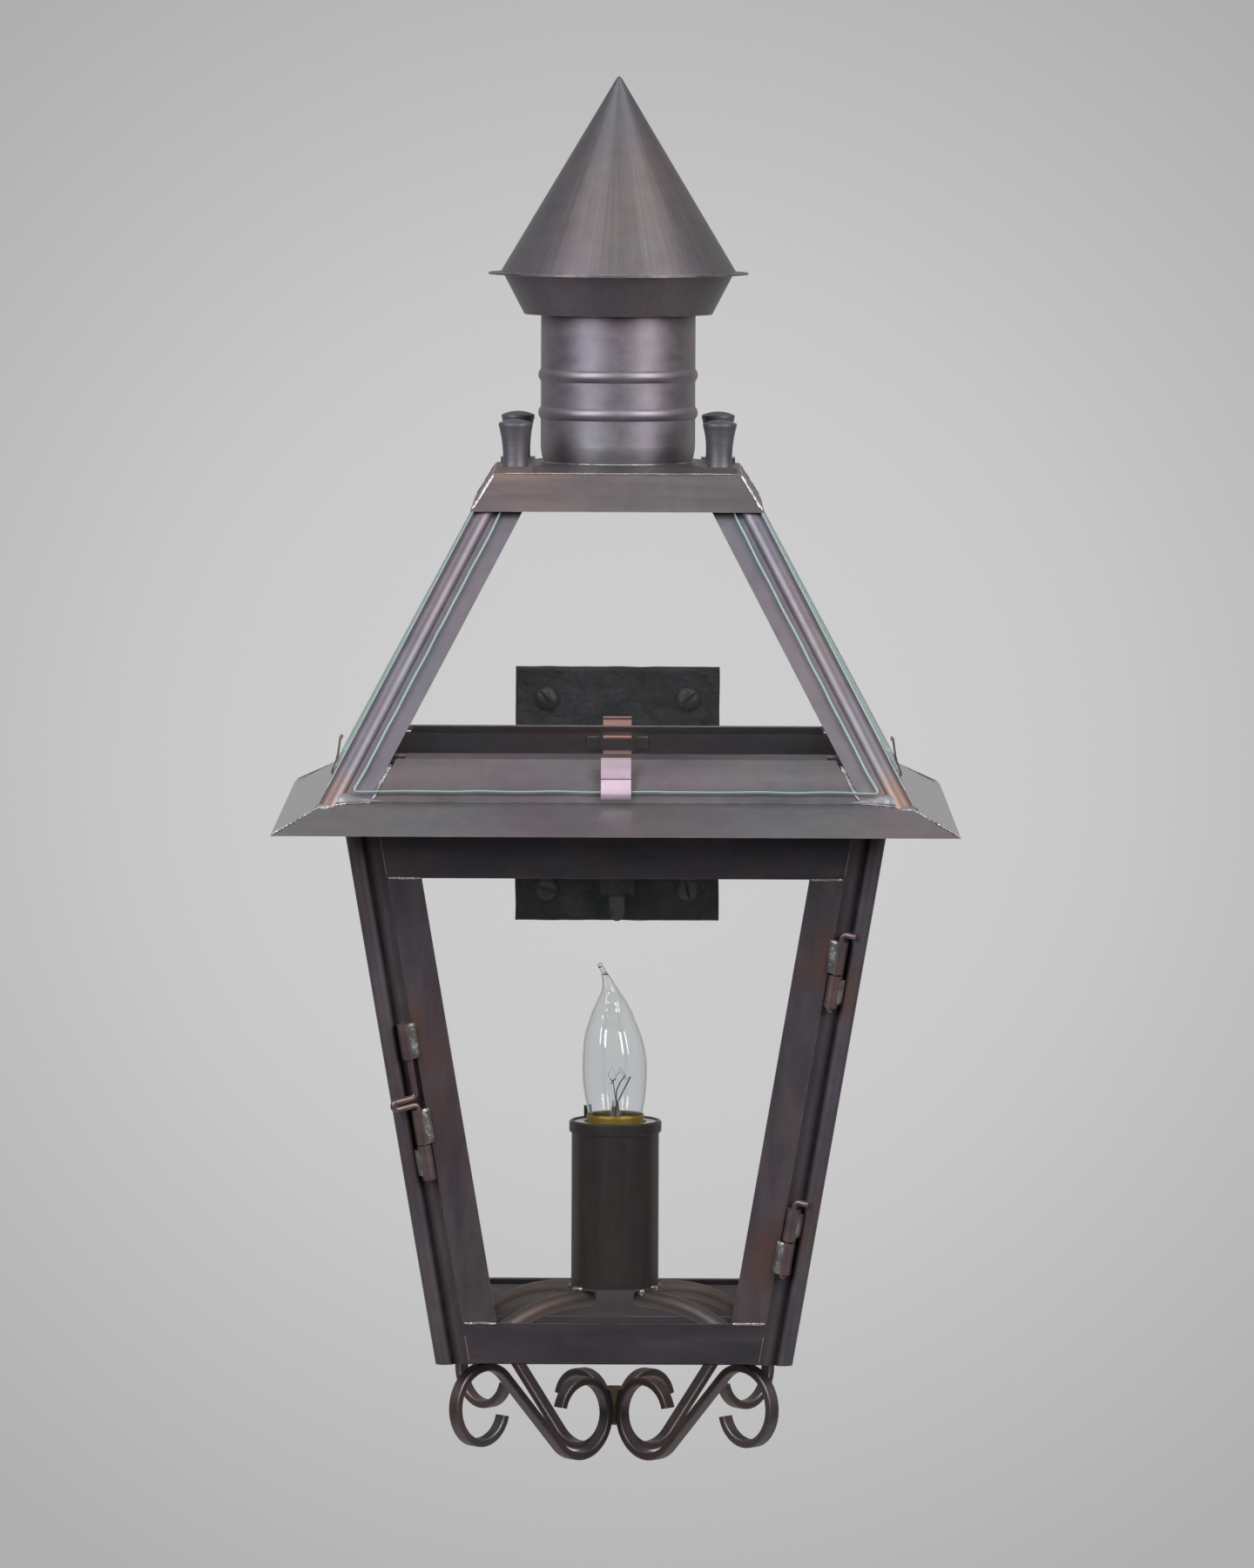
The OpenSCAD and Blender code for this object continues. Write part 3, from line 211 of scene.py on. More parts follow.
def patinaGroup():
    tree, ins, outs = group(
        "patinaClouds",
        [("Streaks", "v", None), ("Tone", "c", rgb(0.1, 0.09, 0.1)), ("Warm", "c", rgb(0.16, 0.09, 0.07)),
         ("WarmAmount", "f", 0.35), ("Edge", "c", rgb(0.45, 0.25, 0.18)), ("EdgeAmount", "f", 0.6),
         ("Heat", "f", 0.0), ("Dark", "f", 0.0), ("HeatColor", "c", rgb(0.3, 0.12, 0.09)),
         ("Rough", "f", 0.36), ("Seed", "f", 0.0)],
        [("Color", "c"), ("Roughness", "f"), ("Normal", "v")],
    )
    seed = joinVector(tree, {0: ins["Seed"], 2: ins["Seed"]})
    spot = vectorCalc(tree, "ADD", objectPlace(tree), seed)[0]
    big = noiseTexture(tree, spot, clouds["big"], 4.0, 0.55)
    fine = noiseTexture(tree, spot, clouds["fine"], 4.0, 0.6)[0]
    grain = noiseTexture(tree, spot, clouds["grain"], 2.0, 0.6)[0]
    streak = noiseTexture(tree, ins["Streaks"], clouds["streaks"], 6.0, 0.62)[0]
    cloud = ramp(tree, calc(tree, "ADD", big[0], streak), 0.8, 1.24)
    base = mixColor(tree, calc(tree, "MULTIPLY", cloud, ins["WarmAmount"]), ins["Tone"], ins["Warm"])
    drift = vectorCalc(tree, "MULTIPLY_ADD", big["Color"], clouds["driftShare"], clouds["driftBase"])[0]
    for shade in (ramp(tree, fine, 0.3, 0.7, 0.92, 1.08), ramp(tree, streak, 0.32, 0.68, 0.9, 1.1), drift):
        base = mixColor(tree, 1.0, base, shade, "MULTIPLY")
    base = mixColor(tree, ramp(tree, grain, 0.62, 0.72, 0.0, clouds["specks"]), base, clouds["soot"])
    heat = calc(tree, "MULTIPLY", ins["Heat"], ramp(tree, streak, 0.35, 0.62, 0.2, 1.0))
    base = mixColor(tree, heat, base, ins["HeatColor"])
    # Dark mixes in near black: painted shade in the posts' grooves, and the side clips' own darker colour
    base = mixColor(tree, ins["Dark"], base, clouds["dark"])
    rounded = addNode(tree, "ShaderNodeBevel", {"Radius": clouds["edgeWidth"]}, samples=4).outputs[0]
    facing = tree.nodes.new("ShaderNodeNewGeometry").outputs["Normal"]
    flat = vectorCalc(tree, "DOT_PRODUCT", rounded, facing)["Value"]
    edge = calc(tree, "MULTIPLY", ramp(tree, flat, 0.99, 0.9), ins["EdgeAmount"])
    rub = calc(tree, "MULTIPLY", edge, ramp(tree, fine, 0.4, 0.62))
    tree.links.new(mixColor(tree, rub, base, ins["Edge"]), outs["Color"])
    rough = calc(tree, "ADD", ins["Rough"], ramp(tree, streak, 0.3, 0.7, -0.03, 0.05))
    tree.links.new(rough, outs["Roughness"])
    surface = bump(tree, fine, 0.05, 0.001, bump(tree, grain, 0.05, 0.0004))
    tree.links.new(bump(tree, big[0], 0.1, 0.004, surface), outs["Normal"])
    return tree


def spotGroup():
    tree, ins, outs = group(
        "softSpot", [("Place", "v", None), ("Center", "v", None), ("Radius", "f", 0.02)], [("Mask", "f")]
    )
    far = vectorCalc(tree, "DISTANCE", ins["Place"], ins["Center"])["Value"]
    tree.links.new(ramp(tree, calc(tree, "DIVIDE", far, ins["Radius"]), 1.0, 0.25), outs["Mask"])
    return tree


# Painted shade along the groove of a leaning corner, where a bead of a given width meets a sunk flange: the
# colour darkens there in place of the shade that falls into it
def creaseGroup():
    tree, ins, outs = group(
        "cornerCreaseShade",
        [("Place", "v", None), ("Low", "f", 0.0), ("Half", "f", 0.1), ("Slope", "f", 0.0),
         ("Along", "f", 0.008), ("Sunk", "f", 0.004), ("Reach", "f", 0.004)],
        [("Mask", "f")],
    )
    part = splitVector(tree, ins["Place"])
    up = calc(tree, "SUBTRACT", part["Z"], ins["Low"])
    half = calc(tree, "ADD", ins["Half"], calc(tree, "MULTIPLY", up, ins["Slope"]))
    first, second = (calc(tree, "SUBTRACT", half, calc(tree, "ABSOLUTE", part[way])) for way in "XY")
    along = calc(tree, "SUBTRACT", calc(tree, "MAXIMUM", first, second), ins["Along"])
    sunk = calc(tree, "SUBTRACT", calc(tree, "MINIMUM", first, second), ins["Sunk"])
    far = vectorCalc(tree, "LENGTH", joinVector(tree, {0: along, 1: sunk}))["Value"]
    tree.links.new(ramp(tree, calc(tree, "DIVIDE", far, ins["Reach"]), 1.0, 0.15), outs["Mask"])
    return tree


patina = patinaGroup()
softSpot = spotGroup()
cornerCreaseShade = creaseGroup()


def corners(node):
    return [v.co.copy() for v in nodes[node].data.vertices]


# Where the painted shade in the grooves of a kind of corner piece runs, read near both ends of one of its
# pieces
def creaseOf(tree, node, along, sunk, reach, inset=0.012, count=24):
    lo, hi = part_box(node)
    halves = []
    for z in (lo[2] + inset, hi[2] - inset):
        near = sorted(corners(node), key=lambda p: abs(p.z - z))[:count]
        halves.append((max(max(abs(p.x), abs(p.y - axisY)) for p in near), sum(p.z for p in near) / count))
    (half, low), (other, high) = halves
    place = vectorCalc(tree, "SUBTRACT", objectPlace(tree), tuple(axis))[0]
    values = {"Place": place, "Low": low, "Half": half, "Slope": (other - half) / (high - low),
              "Along": along, "Sunk": sunk, "Reach": reach}
    return useGroup(tree, cornerCreaseShade, values)[0]


# Largest of the soft spots round some places in the row frame
def spotMask(tree, spots):
    place = objectPlace(tree)
    total = None
    for center, radius in spots:
        mask = useGroup(tree, softSpot, {"Place": place, "Center": tuple(center), "Radius": radius})[0]
        total = mask if total is None else calc(tree, "MAXIMUM", total, mask)
    return total


# grain stretches the brushed streaks along the directions with small shares. A round part turns them
# about the lantern's axis
def streakPlace(tree, grain, turned):
    place = objectPlace(tree)
    if turned:
        part = splitVector(tree, vectorCalc(tree, "SUBTRACT", place, tuple(axis))[0])
        angle = calc(tree, "ARCTAN2", part["X"], part["Y"])
        away = calc(tree, "MULTIPLY", calc(tree, "ABSOLUTE", angle), 0.1)
        place = joinVector(tree, {0: away, 1: calc(tree, "SIGN", angle), 2: part["Z"]})
    return vectorCalc(tree, "MULTIPLY", place, grain)[0]


tones = {
    "post": rgb(0.114, 0.103, 0.12),
    "rib": rgb(0.135, 0.131, 0.152),
    "warm": rgb(0.155, 0.105, 0.095),
    "door": rgb(0.112, 0.102, 0.117),
    # rail: darker than the door, partly the rails' own tone and partly painted shade from the eave over the
    # top rail
    "rail": rgb(0.074, 0.07, 0.084),
    "body": rgb(0.143, 0.133, 0.145),
    "eave": rgb(0.15, 0.145, 0.155),
    "crown": rgb(0.122, 0.109, 0.119),
    "cone": rgb(0.125, 0.119, 0.135),
    "chimney": rgb(0.2, 0.188, 0.21),
    "crownWarm": rgb(0.17, 0.128, 0.115),
    "chimneyWarm": rgb(0.22, 0.175, 0.17),
}


def copper(name, tone, warm=tones["warm"], warmAmount=0.3, edgeAmount=0.6, rough=0.42, seed=0.0, metallic=0.8,
           edge=rgb(0.3, 0.21, 0.19), spots=(), heatColor=rgb(0.15, 0.085, 0.07), grain=(0.3, 0.3, 2.6),
           turned=False, crease=None, darkSpots=(), lacquer=0.0):
    mat, tree = newMaterial(name)
    values = {"Streaks": streakPlace(tree, grain, turned), "Tone": tone, "Warm": warm, "Rough": rough,
              "WarmAmount": warmAmount, "EdgeAmount": edgeAmount, "Seed": seed, "Edge": edge,
              "HeatColor": heatColor}
    if spots:
        values["Heat"] = spotMask(tree, spots)
    # A groove mask darkens the colour there as painted shade
    if crease:
        values["Dark"] = creaseOf(tree, *crease)
    if darkSpots:
        values["Dark"] = calc(tree, "MULTIPLY", spotMask(tree, darkSpots), 0.85)
    look = useGroup(tree, patina, values)
    toSurface(tree, addNode(tree, "ShaderNodeBsdfPrincipled", {
        "Base Color": look["Color"], "Roughness": look["Roughness"], "Normal": look["Normal"],
        "Metallic": metallic, "Coat Weight": lacquer, "Coat Roughness": 0.22,
    }))
    return mat


def plain(name, color, rough, metallic=0.0, **more):
    mat, tree = newMaterial(name)
    values = {"Base Color": color, "Roughness": rough, "Metallic": metallic}
    toSurface(tree, addNode(tree, "ShaderNodeBsdfPrincipled", {**values, **more}))
    return mat


# Lumpy finish for solder, braze and forged iron
def lumpy(name, dark, light, rough, metallic, scale, strength, depth, specular=0.5):
    mat, tree = newMaterial(name)
    place = objectPlace(tree)
    lumps = noiseTexture(tree, place, scale, 5.0, 0.62)[0]
    wide = noiseTexture(tree, place, scale / 6, 3.0)[0]
    tone = calc(tree, "MULTIPLY", ramp(tree, wide, 0.34, 0.66), ramp(tree, lumps, 0.3, 0.65, 0.3, 1.0))
    surface = bump(tree, wide, strength * 0.7, depth * 4, bump(tree, lumps, strength, depth))
    toSurface(tree, addNode(tree, "ShaderNodeBsdfPrincipled", {
        "Base Color": mixColor(tree, tone, dark, light), "Roughness": rough, "Metallic": metallic,
        "Specular IOR Level": specular, "Normal": surface,
    }))
    return mat


# Clear glass: nearly invisible face on, with more gloss where it is seen at a slant
def clearGlass(name, color, low, high, power):
    mat, tree = newMaterial(name)
    slant = addNode(tree, "ShaderNodeLayerWeight", {"Blend": 0.5}).outputs["Facing"]
    alpha = ramp(tree, calc(tree, "POWER", slant, power), 0.0, 1.0, low, high)
    values = {"Base Color": color, "Roughness": 0.03, "Alpha": alpha}
    toSurface(tree, addNode(tree, "ShaderNodeBsdfPrincipled", values))
    return mat


# Places along the hinge line and the latch line, which mirror each other
hinge = next(j for j in record["behaviour"]["joints"] if j["name"] == "door_hinge")
hingeAt, hingeAxis = Vector(hinge["pos_m"]), Vector(hinge["axis"]).normalized()
tubeGap = 0.02  # least distance between two tubes on a line


def mirrored(v, side):
    return Vector((v.x * side, v.y, v.z))


# Stretches of a node's tubes along their line. side is 1 for the hinges and -1 for the latch
def tubeSpans(node, side):
    along = sorted((mirrored(p, side) - hingeAt).dot(hingeAxis) for p in corners(node))
    spans = [[along[0], along[0]]]
    for t in along:
        if t - spans[-1][1] > tubeGap:
            spans.append([t, t])
        spans[-1][1] = t
    return spans


tubes = {name: (side, tubeSpans(name, side)) for name, side in
         (("door_knuckles", 1), ("post_knuckles", 1), ("latch_guides", -1), ("latch_keeper", -1))}


def tubeSpots(names, radius, push):
    found = []
    for side, spans in (tubes[name] for name in names):
        for low, high in spans:
            for share in (0.15, 0.85):
                place = mirrored(hingeAt + hingeAxis * (low + (high - low) * share), side)
                found.append((place + Vector((push * side, 0, 0)), radius))
    return found


# Stains: heat at the ribs' feet and on the crown, orange back clip, dark side clips
stain = {"ribUp": 0.004, "rib": 0.024, "crownSide": -0.046, "crownIn": 0.006, "crown": 0.034,
         "clipDown": 0.01, "backClip": 0.12, "sideClip": 0.09}
ribNames = ("rib_front_right", "rib_back_right", "rib_back_left", "rib_front_left")
ribStains = [(min(corners(rib), key=lambda p: p.z) + Vector((0, 0, stain["ribUp"])), stain["rib"])
             for rib in ribNames]
crownLo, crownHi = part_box("crown_box")
crownMiddle = (crownLo[2] + crownHi[2]) / 2
crownStains = [(Vector((stain["crownSide"], crownLo[1] + stain["crownIn"], crownMiddle)), stain["crown"])]
clipLo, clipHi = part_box("glass_clips")
orangeStains = [(Vector((0, clipHi[1], clipHi[2] - stain["clipDown"])), stain["backClip"])]
darkStains = [(Vector((x, axisY, clipHi[2])), stain["sideClip"]) for x in (clipLo[0], clipHi[0])]
upright = (2.6, 2.6, 0.25)

coppers = {
    "copperPosts": dict(tone=tones["post"], seed=1.0, rough=0.5, grain=upright,
                        spots=tubeSpots(("post_knuckles", "latch_keeper"), 0.012, 0.004),
                        # The posts darken along the groove between bead and flange, painted shade
                        crease=("post_front_left", 0.0083, 0.0032, 0.0042)),
    "copperRibs": dict(tone=tones["rib"], seed=2.0, rough=0.46, grain=(0.5, 0.5, 0.3), spots=ribStains,
                       heatColor=rgb(0.22, 0.14, 0.115)),
    "copperBody": dict(tone=tones["body"], seed=3.0, rough=0.34),
    "copperEave": dict(tone=tones["eave"], seed=3.0, lacquer=0.8),
    "copperCrown": dict(tone=tones["crown"], warm=tones["crownWarm"], warmAmount=0.6, seed=4.0, rough=0.44,
                        spots=crownStains, heatColor=rgb(0.2, 0.145, 0.13)),
    "copperCone": dict(tone=tones["cone"], warm=tones["crownWarm"], warmAmount=0.45, seed=11.0, rough=0.43,
                       edgeAmount=0.9, edge=rgb(0.45, 0.43, 0.42), grain=(9, 1, 0.2), turned=True),
    "copperChimney": dict(tone=tones["chimney"], warm=tones["chimneyWarm"], warmAmount=0.4, seed=12.0,
                          rough=0.46, grain=(0.5, 1, 5), turned=True),
    # The rails' darker tone is partly their own and partly painted shade from the eave over the top rail
    "copperRails": dict(tone=tones["rail"], seed=14.0, rough=0.46, edgeAmount=0.9, warmAmount=0.25),
    "knobGrey": dict(tone=rgb(0.12, 0.122, 0.14), warm=rgb(0.13, 0.12, 0.13), seed=13.0, rough=0.5,
                     metallic=0.7, edgeAmount=0.2),
    "copperDoor": dict(tone=tones["door"], seed=5.0, edgeAmount=0.9, rough=0.46, grain=upright,
                       spots=tubeSpots(("door_knuckles", "latch_guides"), 0.017, -0.006)),
    "copperHardware": dict(tone=rgb(0.135, 0.108, 0.112), warm=rgb(0.17, 0.11, 0.1), warmAmount=0.7,
                           seed=6.0),
    "copperArms": dict(tone=rgb(0.13, 0.11, 0.105), warm=rgb(0.16, 0.115, 0.09), warmAmount=0.5, seed=7.0,
                       rough=0.5, edgeAmount=0.1),
    "copperScrolls": dict(tone=rgb(0.105, 0.092, 0.096), warm=rgb(0.13, 0.085, 0.07), warmAmount=0.6,
                          seed=15.0, edgeAmount=0.05, grain=(0.6, 0.6, 0.6)),
    "clipCopper": dict(tone=rgb(0.66, 0.53, 0.63), warm=rgb(0.66, 0.46, 0.48), seed=8.0, rough=0.3,
                       metallic=0.6, edge=rgb(0.8, 0.6, 0.55), spots=orangeStains,
                       heatColor=rgb(0.95, 0.46, 0.3), darkSpots=darkStains),
    "tabCopper": dict(tone=rgb(0.3, 0.2, 0.17), warm=rgb(0.4, 0.22, 0.16), seed=9.0),
    "coverBrown": dict(tone=rgb(0.068, 0.06, 0.058), warm=rgb(0.078, 0.062, 0.05), seed=10.0, metallic=0.6,
                       edgeAmount=0.2, rough=0.36, grain=upright),
}
# Dark and light colour, roughness, metal, scale, then strength and depth of the bumps
lumpies = {
    "solder": (rgb(0.12, 0.12, 0.12), rgb(0.38, 0.38, 0.37), 0.4, 0.8, 900, 0.5, 0.0004),
    "tin": (rgb(0.3, 0.27, 0.26), rgb(0.66, 0.6, 0.57), 0.34, 0.9, 700, 0.3, 0.0003),
    "patch": (rgb(0.15, 0.152, 0.165), rgb(0.3, 0.305, 0.33), 0.48, 0.7, 420, 0.5, 0.0004),
    "braze": (rgb(0.06, 0.048, 0.03), rgb(0.2, 0.15, 0.08), 0.5, 0.6, 500, 0.5, 0.0005),
    "ironBlack": (rgb(0.006, 0.006, 0.0065), rgb(0.025, 0.0265, 0.03), 0.58, 0.0, 420, 0.8, 0.0009, 0.25),
    "ironWorn": (rgb(0.015, 0.015, 0.015), rgb(0.06, 0.06, 0.06), 0.46, 0.3, 500, 0.5, 0.0005),
}
plains = {
    "ringWhite": (rgb(0.7, 0.7, 0.68), 0.3),
    "porcelain": (rgb(0.7, 0.69, 0.66), 0.25),
    "lampBrass": (rgb(0.6, 0.45, 0.2), 0.3, 1.0),
    "cement": (rgb(0.29, 0.2, 0.027), 0.38, 0.5),
    "bulbWire": (rgb(0.05, 0.05, 0.05), 0.4, 0.8),
}
finish = {name: copper(name, **values) for name, values in coppers.items()}
finish.update({name: lumpy(name, *values) for name, values in lumpies.items()})
finish.update({name: plain(name, *values) for name, values in plains.items()})
finish["paneRim"] = plain("paneRim", rgb(0.45, 0.62, 0.6), 0.15, Alpha=0.72)
clearBulb = {"Transmission Weight": 1.0, "IOR": 1.45}
finish["bulbGlass"] = plain("bulbGlass", rgb(0.9, 0.91, 0.92), 0.0, **clearBulb)
finish["paneGlass"] = clearGlass("paneGlass", rgb(0.3, 0.33, 0.33), 0.006, 0.22, 4.0)

slotFinish = {
    "iron_black": "ironBlack", "iron_screws": "ironBlack", "copper_tabs": "tabCopper",
    "copper_clips": "clipCopper", "window_glass": "paneGlass", "roof_glass": "paneGlass",
    "copper_posts": "copperPosts", "copper_ribs": "copperRibs", "copper_body": "copperBody",
    "copper_crown": "copperCrown", "copper_door": "copperDoor", "copper_hardware": "copperHardware",
    "copper_arms": "copperArms", "braze": "braze", "cover_brown": "coverBrown", "ring_white": "ringWhite",
    "porcelain": "porcelain", "lamp_brass": "lampBrass", "cement": "cement", "bulb_glass": "bulbGlass",
    "bulb_wire": "bulbWire",
}
# Nodes whose finish differs from the rest of their slot
nodeFinish = {
    "cap_cone": "copperCone", "cap_skirt": "copperCone", "chimney": "copperChimney",
    "corner_knobs": "knobGrey", "eave_skirt": "copperEave", "door_top_rail": "copperRails",
    "door_bottom_rail": "copperRails", "scrolls": "copperScrolls", "hanger_bar": "ironWorn",
    "wall_screws": "ironWorn",
}
slotOf = {s["node"]: s["material_slot"] for s in record["subparts"]}
bodyOf = {n: b for b, names in record["behaviour"]["bodies"].items() for n in names}
for name, obj in nodes.items():
    mat = finish[nodeFinish.get(name, slotFinish[slotOf[name]])]
    for slot in obj.material_slots:
        slot.material = mat
    if not obj.material_slots:
        obj.data.materials.append(mat)

brazeShape = {"voxel": 0.0005, "softness": 0.5, "passes": 14}
rounder = nodes["scroll_braze"].modifiers.new("fillet", "REMESH")
rounder.mode = "VOXEL"
rounder.voxel_size = brazeShape["voxel"]
soften = nodes["scroll_braze"].modifiers.new("soften", "SMOOTH")
soften.factor = brazeShape["softness"]
soften.iterations = brazeShape["passes"]
print("stage: finishes set")


# A new piece in the row frame. faces holds lists of vertex numbers, marks the material of each
def newPiece(name, verts, faces, body, slotName, mats, replaced=(), marks=None, smooth=40):
    mesh = bpy.data.meshes.new(name)
    mesh.from_pydata([tuple(v) for v in verts], [], faces)
    for m in mats:
        mesh.materials.append(finish[m])
    if marks:
        mesh.polygons.foreach_set("material_index", marks)
    mesh.update()
    mesh.shade_smooth()
    mesh.set_sharp_from_angle(angle=math.radians(smooth))
    obj = addObject(name, mesh)
    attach(obj, body)
    if replaced:
        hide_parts(*replaced)


# One piece of several meshes. parts holds the material's number, then the mesh's corners and faces
def joinedPiece(name, parts, body, slotName, mats, **more):
    verts, faces, marks = [], [], []
    for mark, (v, f) in parts:
        shift = len(verts)
        verts += v
        faces += [tuple(k + shift for k in face) for face in f]
        marks += [mark] * len(f)
    newPiece(name, verts, faces, body, slotName, mats, marks=marks, **more)


def angles(count):
    return [2 * math.pi * j / count for j in range(count)]


def circle(middle, radius, count):
    return [middle + Vector((radius * math.cos(a), radius * math.sin(a), 0)) for a in angles(count)]


# Faces between two closed rings of vertices, from the first number of each
def bridge(first, second, count):
    return [(first + i, first + (i + 1) % count, second + (i + 1) % count, second + i) for i in range(count)]


# Faces between neighbours in a stack of closed rings
def stack(start, rings, count):
    return [f for k in range(rings - 1) for f in bridge(start + k * count, start + (k + 1) * count, count)]


# Faces of an open sheet of corners, row after row
def grid(rows, cols):
    starts = [i * (cols + 1) + k for i in range(rows) for k in range(cols)]
    return [(a, a + 1, a + cols + 2, a + cols + 1) for a in starts]


def faceNormal(node):
    return Vector(max(nodes[node].data.polygons, key=lambda f: f.area).normal)


# Glass panes with hand-cut, slightly wavy edges
pane = {
    "step": 0.003,
    "wave": 0.0008,
    "waveScale": 60,
    "steady": 0.01,  # length from a corner over which the wave grows
    "chamfer": 0.0004,
    "clear": 0.00005,
    "corner": 0.0035,
    "cornerSteps": 6,
}


def hull2d(points):
    points = sorted(set((round(x, 7), round(y, 7)) for x, y in points))

    def half(seq):
        hull = []
        for p in seq:
            while len(hull) > 1 and ((hull[-1][0] - hull[-2][0]) * (p[1] - hull[-2][1])
                                     - (hull[-1][1] - hull[-2][1]) * (p[0] - hull[-2][0])) <= 1e-9:
                hull.pop()
            hull.append(p)
        return hull[:-1]
    return half(points) + half(points[::-1])


# Places round a pane's edge, each with its inward way and the depth of the wave there
def wavyRim(loop, seed):
    rim, corner = [], pane["corner"]
    for i, a in enumerate(loop):
        b, c = loop[(i + 1) % len(loop)], loop[(i + 2) % len(loop)]
        ahead, turn = (b - a).normalized(), (c - b).normalized()
        start, stop = a + ahead * corner, b - ahead * corner
        inward, after = Vector((-ahead.y, ahead.x)), Vector((-turn.y, turn.x))
        span = (stop - start).length
        count = max(2, round(span / pane["step"]))
        for k in range(count + 1):
            t = k / count
            ease = min(1, min(t, 1 - t) * span / pane["steady"])
            swing = noise.noise(Vector((t * (b - a).length * pane["waveScale"], i * 7.3, seed)))
            rim.append((start + (stop - start) * t, inward, pane["wave"] * ease * (0.5 + 0.5 * swing)))
        for k in range(1, pane["cornerSteps"]):
            t = k / pane["cornerSteps"]
            place = stop * (1 - t) ** 2 + b * (2 * t * (1 - t)) + (b + turn * corner) * t ** 2
            rim.append((place, (inward * (1 - t) + after * t).normalized(), 0.0))
    return rim


def glassPane(node, seed):
    out, pts = faceNormal(node), corners(node)
    centre = sum(pts, Vector()) / len(pts)
    if out.dot(centre - Vector((0, axisY, centre.z))) < 0:
        out.negate()
    up = (Vector((0, 0, 1)) - out * out.z).normalized()
    across = up.cross(out)
    levels = [(p - centre).dot(out) for p in pts]
    high, low = max(levels) - pane["clear"], min(levels) + pane["clear"]
    middle = (high + low) / 2
    flat = [((p - centre).dot(across), (p - centre).dot(up)) for p in pts]
    inside = hull2d([p for p, level in zip(flat, levels) if level < middle])
    outside = hull2d([p for p, level in zip(flat, levels) if level > middle])
    loop = [Vector((min(a[0], b[0], key=abs), min(a[1], b[1], key=abs))) for a, b in zip(inside, outside)]
    rim, verts, cut = wavyRim(loop, seed), [], pane["chamfer"]
    for level, extra in ((high, cut), (high - cut, 0), (low + cut, 0), (low, cut)):
        ring = [p + way * (depth + extra) for p, way, depth in rim]
        verts += [centre + across * p.x + up * p.y + out * level for p in ring]
    n = len(rim)
    faces = [tuple(range(n)), tuple(range(4 * n - 1, 3 * n - 1, -1))] + [f[::-1] for f in stack(0, 4, n)]
    newPiece(node + "Cut", verts, faces, bodyOf[node], slotOf[node], ["paneGlass", "paneRim"], [node],
             marks=[0, 0] + [1] * (3 * n), smooth=20)


for number, name in enumerate(("left_pane", "right_pane", "back_pane", "door_glass", "roof_pane_front",
                               "roof_pane_right", "roof_pane_back", "roof_pane_left")):
    glassPane(name, number * 3.7)
print("stage: panes cut")

# Bulb: rings about a line that bends to the left near the tip. The profile holds shares of the
# height, then radius and shift in millimetres
flame = {
    "profile": [(0.0, 12.9, 0.0), (0.045, 13.3, 0.0), (0.117, 14.4, -0.1), (0.212, 15.3, -0.3),
                (0.324, 15.62, -0.4), (0.419, 15.2, -0.6), (0.542, 13.5, -1.3), (0.687, 9.7, -1.8),
                (0.754, 7.2, -2.0), (0.816, 4.5, -2.5), (0.869, 2.9, -3.6), (0.939, 1.55, -5.6),
                (0.972, 1.25, -6.9)],
    "tipBall": 1.35,
    "tipShift": -0.596,
    "tipClear": 0.1,
    "tipLean": -25,  # degrees, as the next one
    "tipFrom": 40,
    "tipRows": 12,
    "sides": 64,
    "rings": 70,
    "wall": 0.5,
}


def smoothValue(rows, t, col):
    i = min(max(k for k, row in enumerate(rows) if row[0] <= t or k == 0), len(rows) - 2)
    p = [rows[min(max(k, 0), len(rows) - 1)][col] for k in (i - 1, i, i + 1, i + 2)]
    u = (t - rows[i][0]) / (rows[i + 1][0] - rows[i][0])
    return 0.5 * (2 * p[1] + (p[2] - p[0]) * u + (2 * p[0] - 5 * p[1] + 4 * p[2] - p[3]) * u * u
                  + (3 * p[1] - p[0] - 3 * p[2] + p[3]) * u ** 3)


def flameGlass():
    lo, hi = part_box("bulb_glass")
    rows, n, wall = flame["profile"], flame["sides"], flame["wall"] / 1000
    rings = []
    for k in range(flame["rings"] + 1):
        t = rows[-1][0] * k / flame["rings"]
        shift = smoothValue(rows, t, 2) / 1000
        middle = Vector((shift, axisY, lo[2] + t * (hi[2] - lo[2])))
        rings.append((middle, smoothValue(rows, t, 1) / 1000))
    verts = [v for middle, radius in rings for v in circle(middle, radius, n)]
    ball = flame["tipBall"] / 1000
    tilt = Matrix.Rotation(math.radians(flame["tipLean"]), 3, "Y")
    end = Vector((rings[-1][0].x + flame["tipShift"] / 1000, axisY, hi[2] - ball - flame["tipClear"] / 1000))
    for k in range(1, flame["tipRows"]):
        a = math.radians(flame["tipFrom"] + (180 - flame["tipFrom"]) * k / flame["tipRows"])
        verts += [end + tilt @ v for v in circle(Vector((0, 0, -ball * math.cos(a))), ball * math.sin(a), n)]
    count = len(verts) // n
    verts.append(end + tilt @ Vector((0, 0, ball)))
    faces = stack(0, count, n)
    faces += [((count - 1) * n + j, (count - 1) * n + (j + 1) % n, count * n) for j in range(n)]
    start = len(verts)
    inner = [ring for ring in rings if ring[1] > wall * 3]
    verts += [v for middle, radius in inner for v in circle(middle, radius - wall, n)]
    verts.append(inner[-1][0] + Vector((0, 0, wall)))
    faces += [f[::-1] for f in stack(start, len(inner), n)]
    last = start + (len(inner) - 1) * n
    faces += [(last + (j + 1) % n, last + j, len(verts) - 1) for j in range(n)]
    faces += bridge(start, 0, n)
    newPiece("flameGlass", verts, faces, "bulb", "bulb_glass", ["bulbGlass"], ["bulb_glass"], smooth=80)


flameGlass()


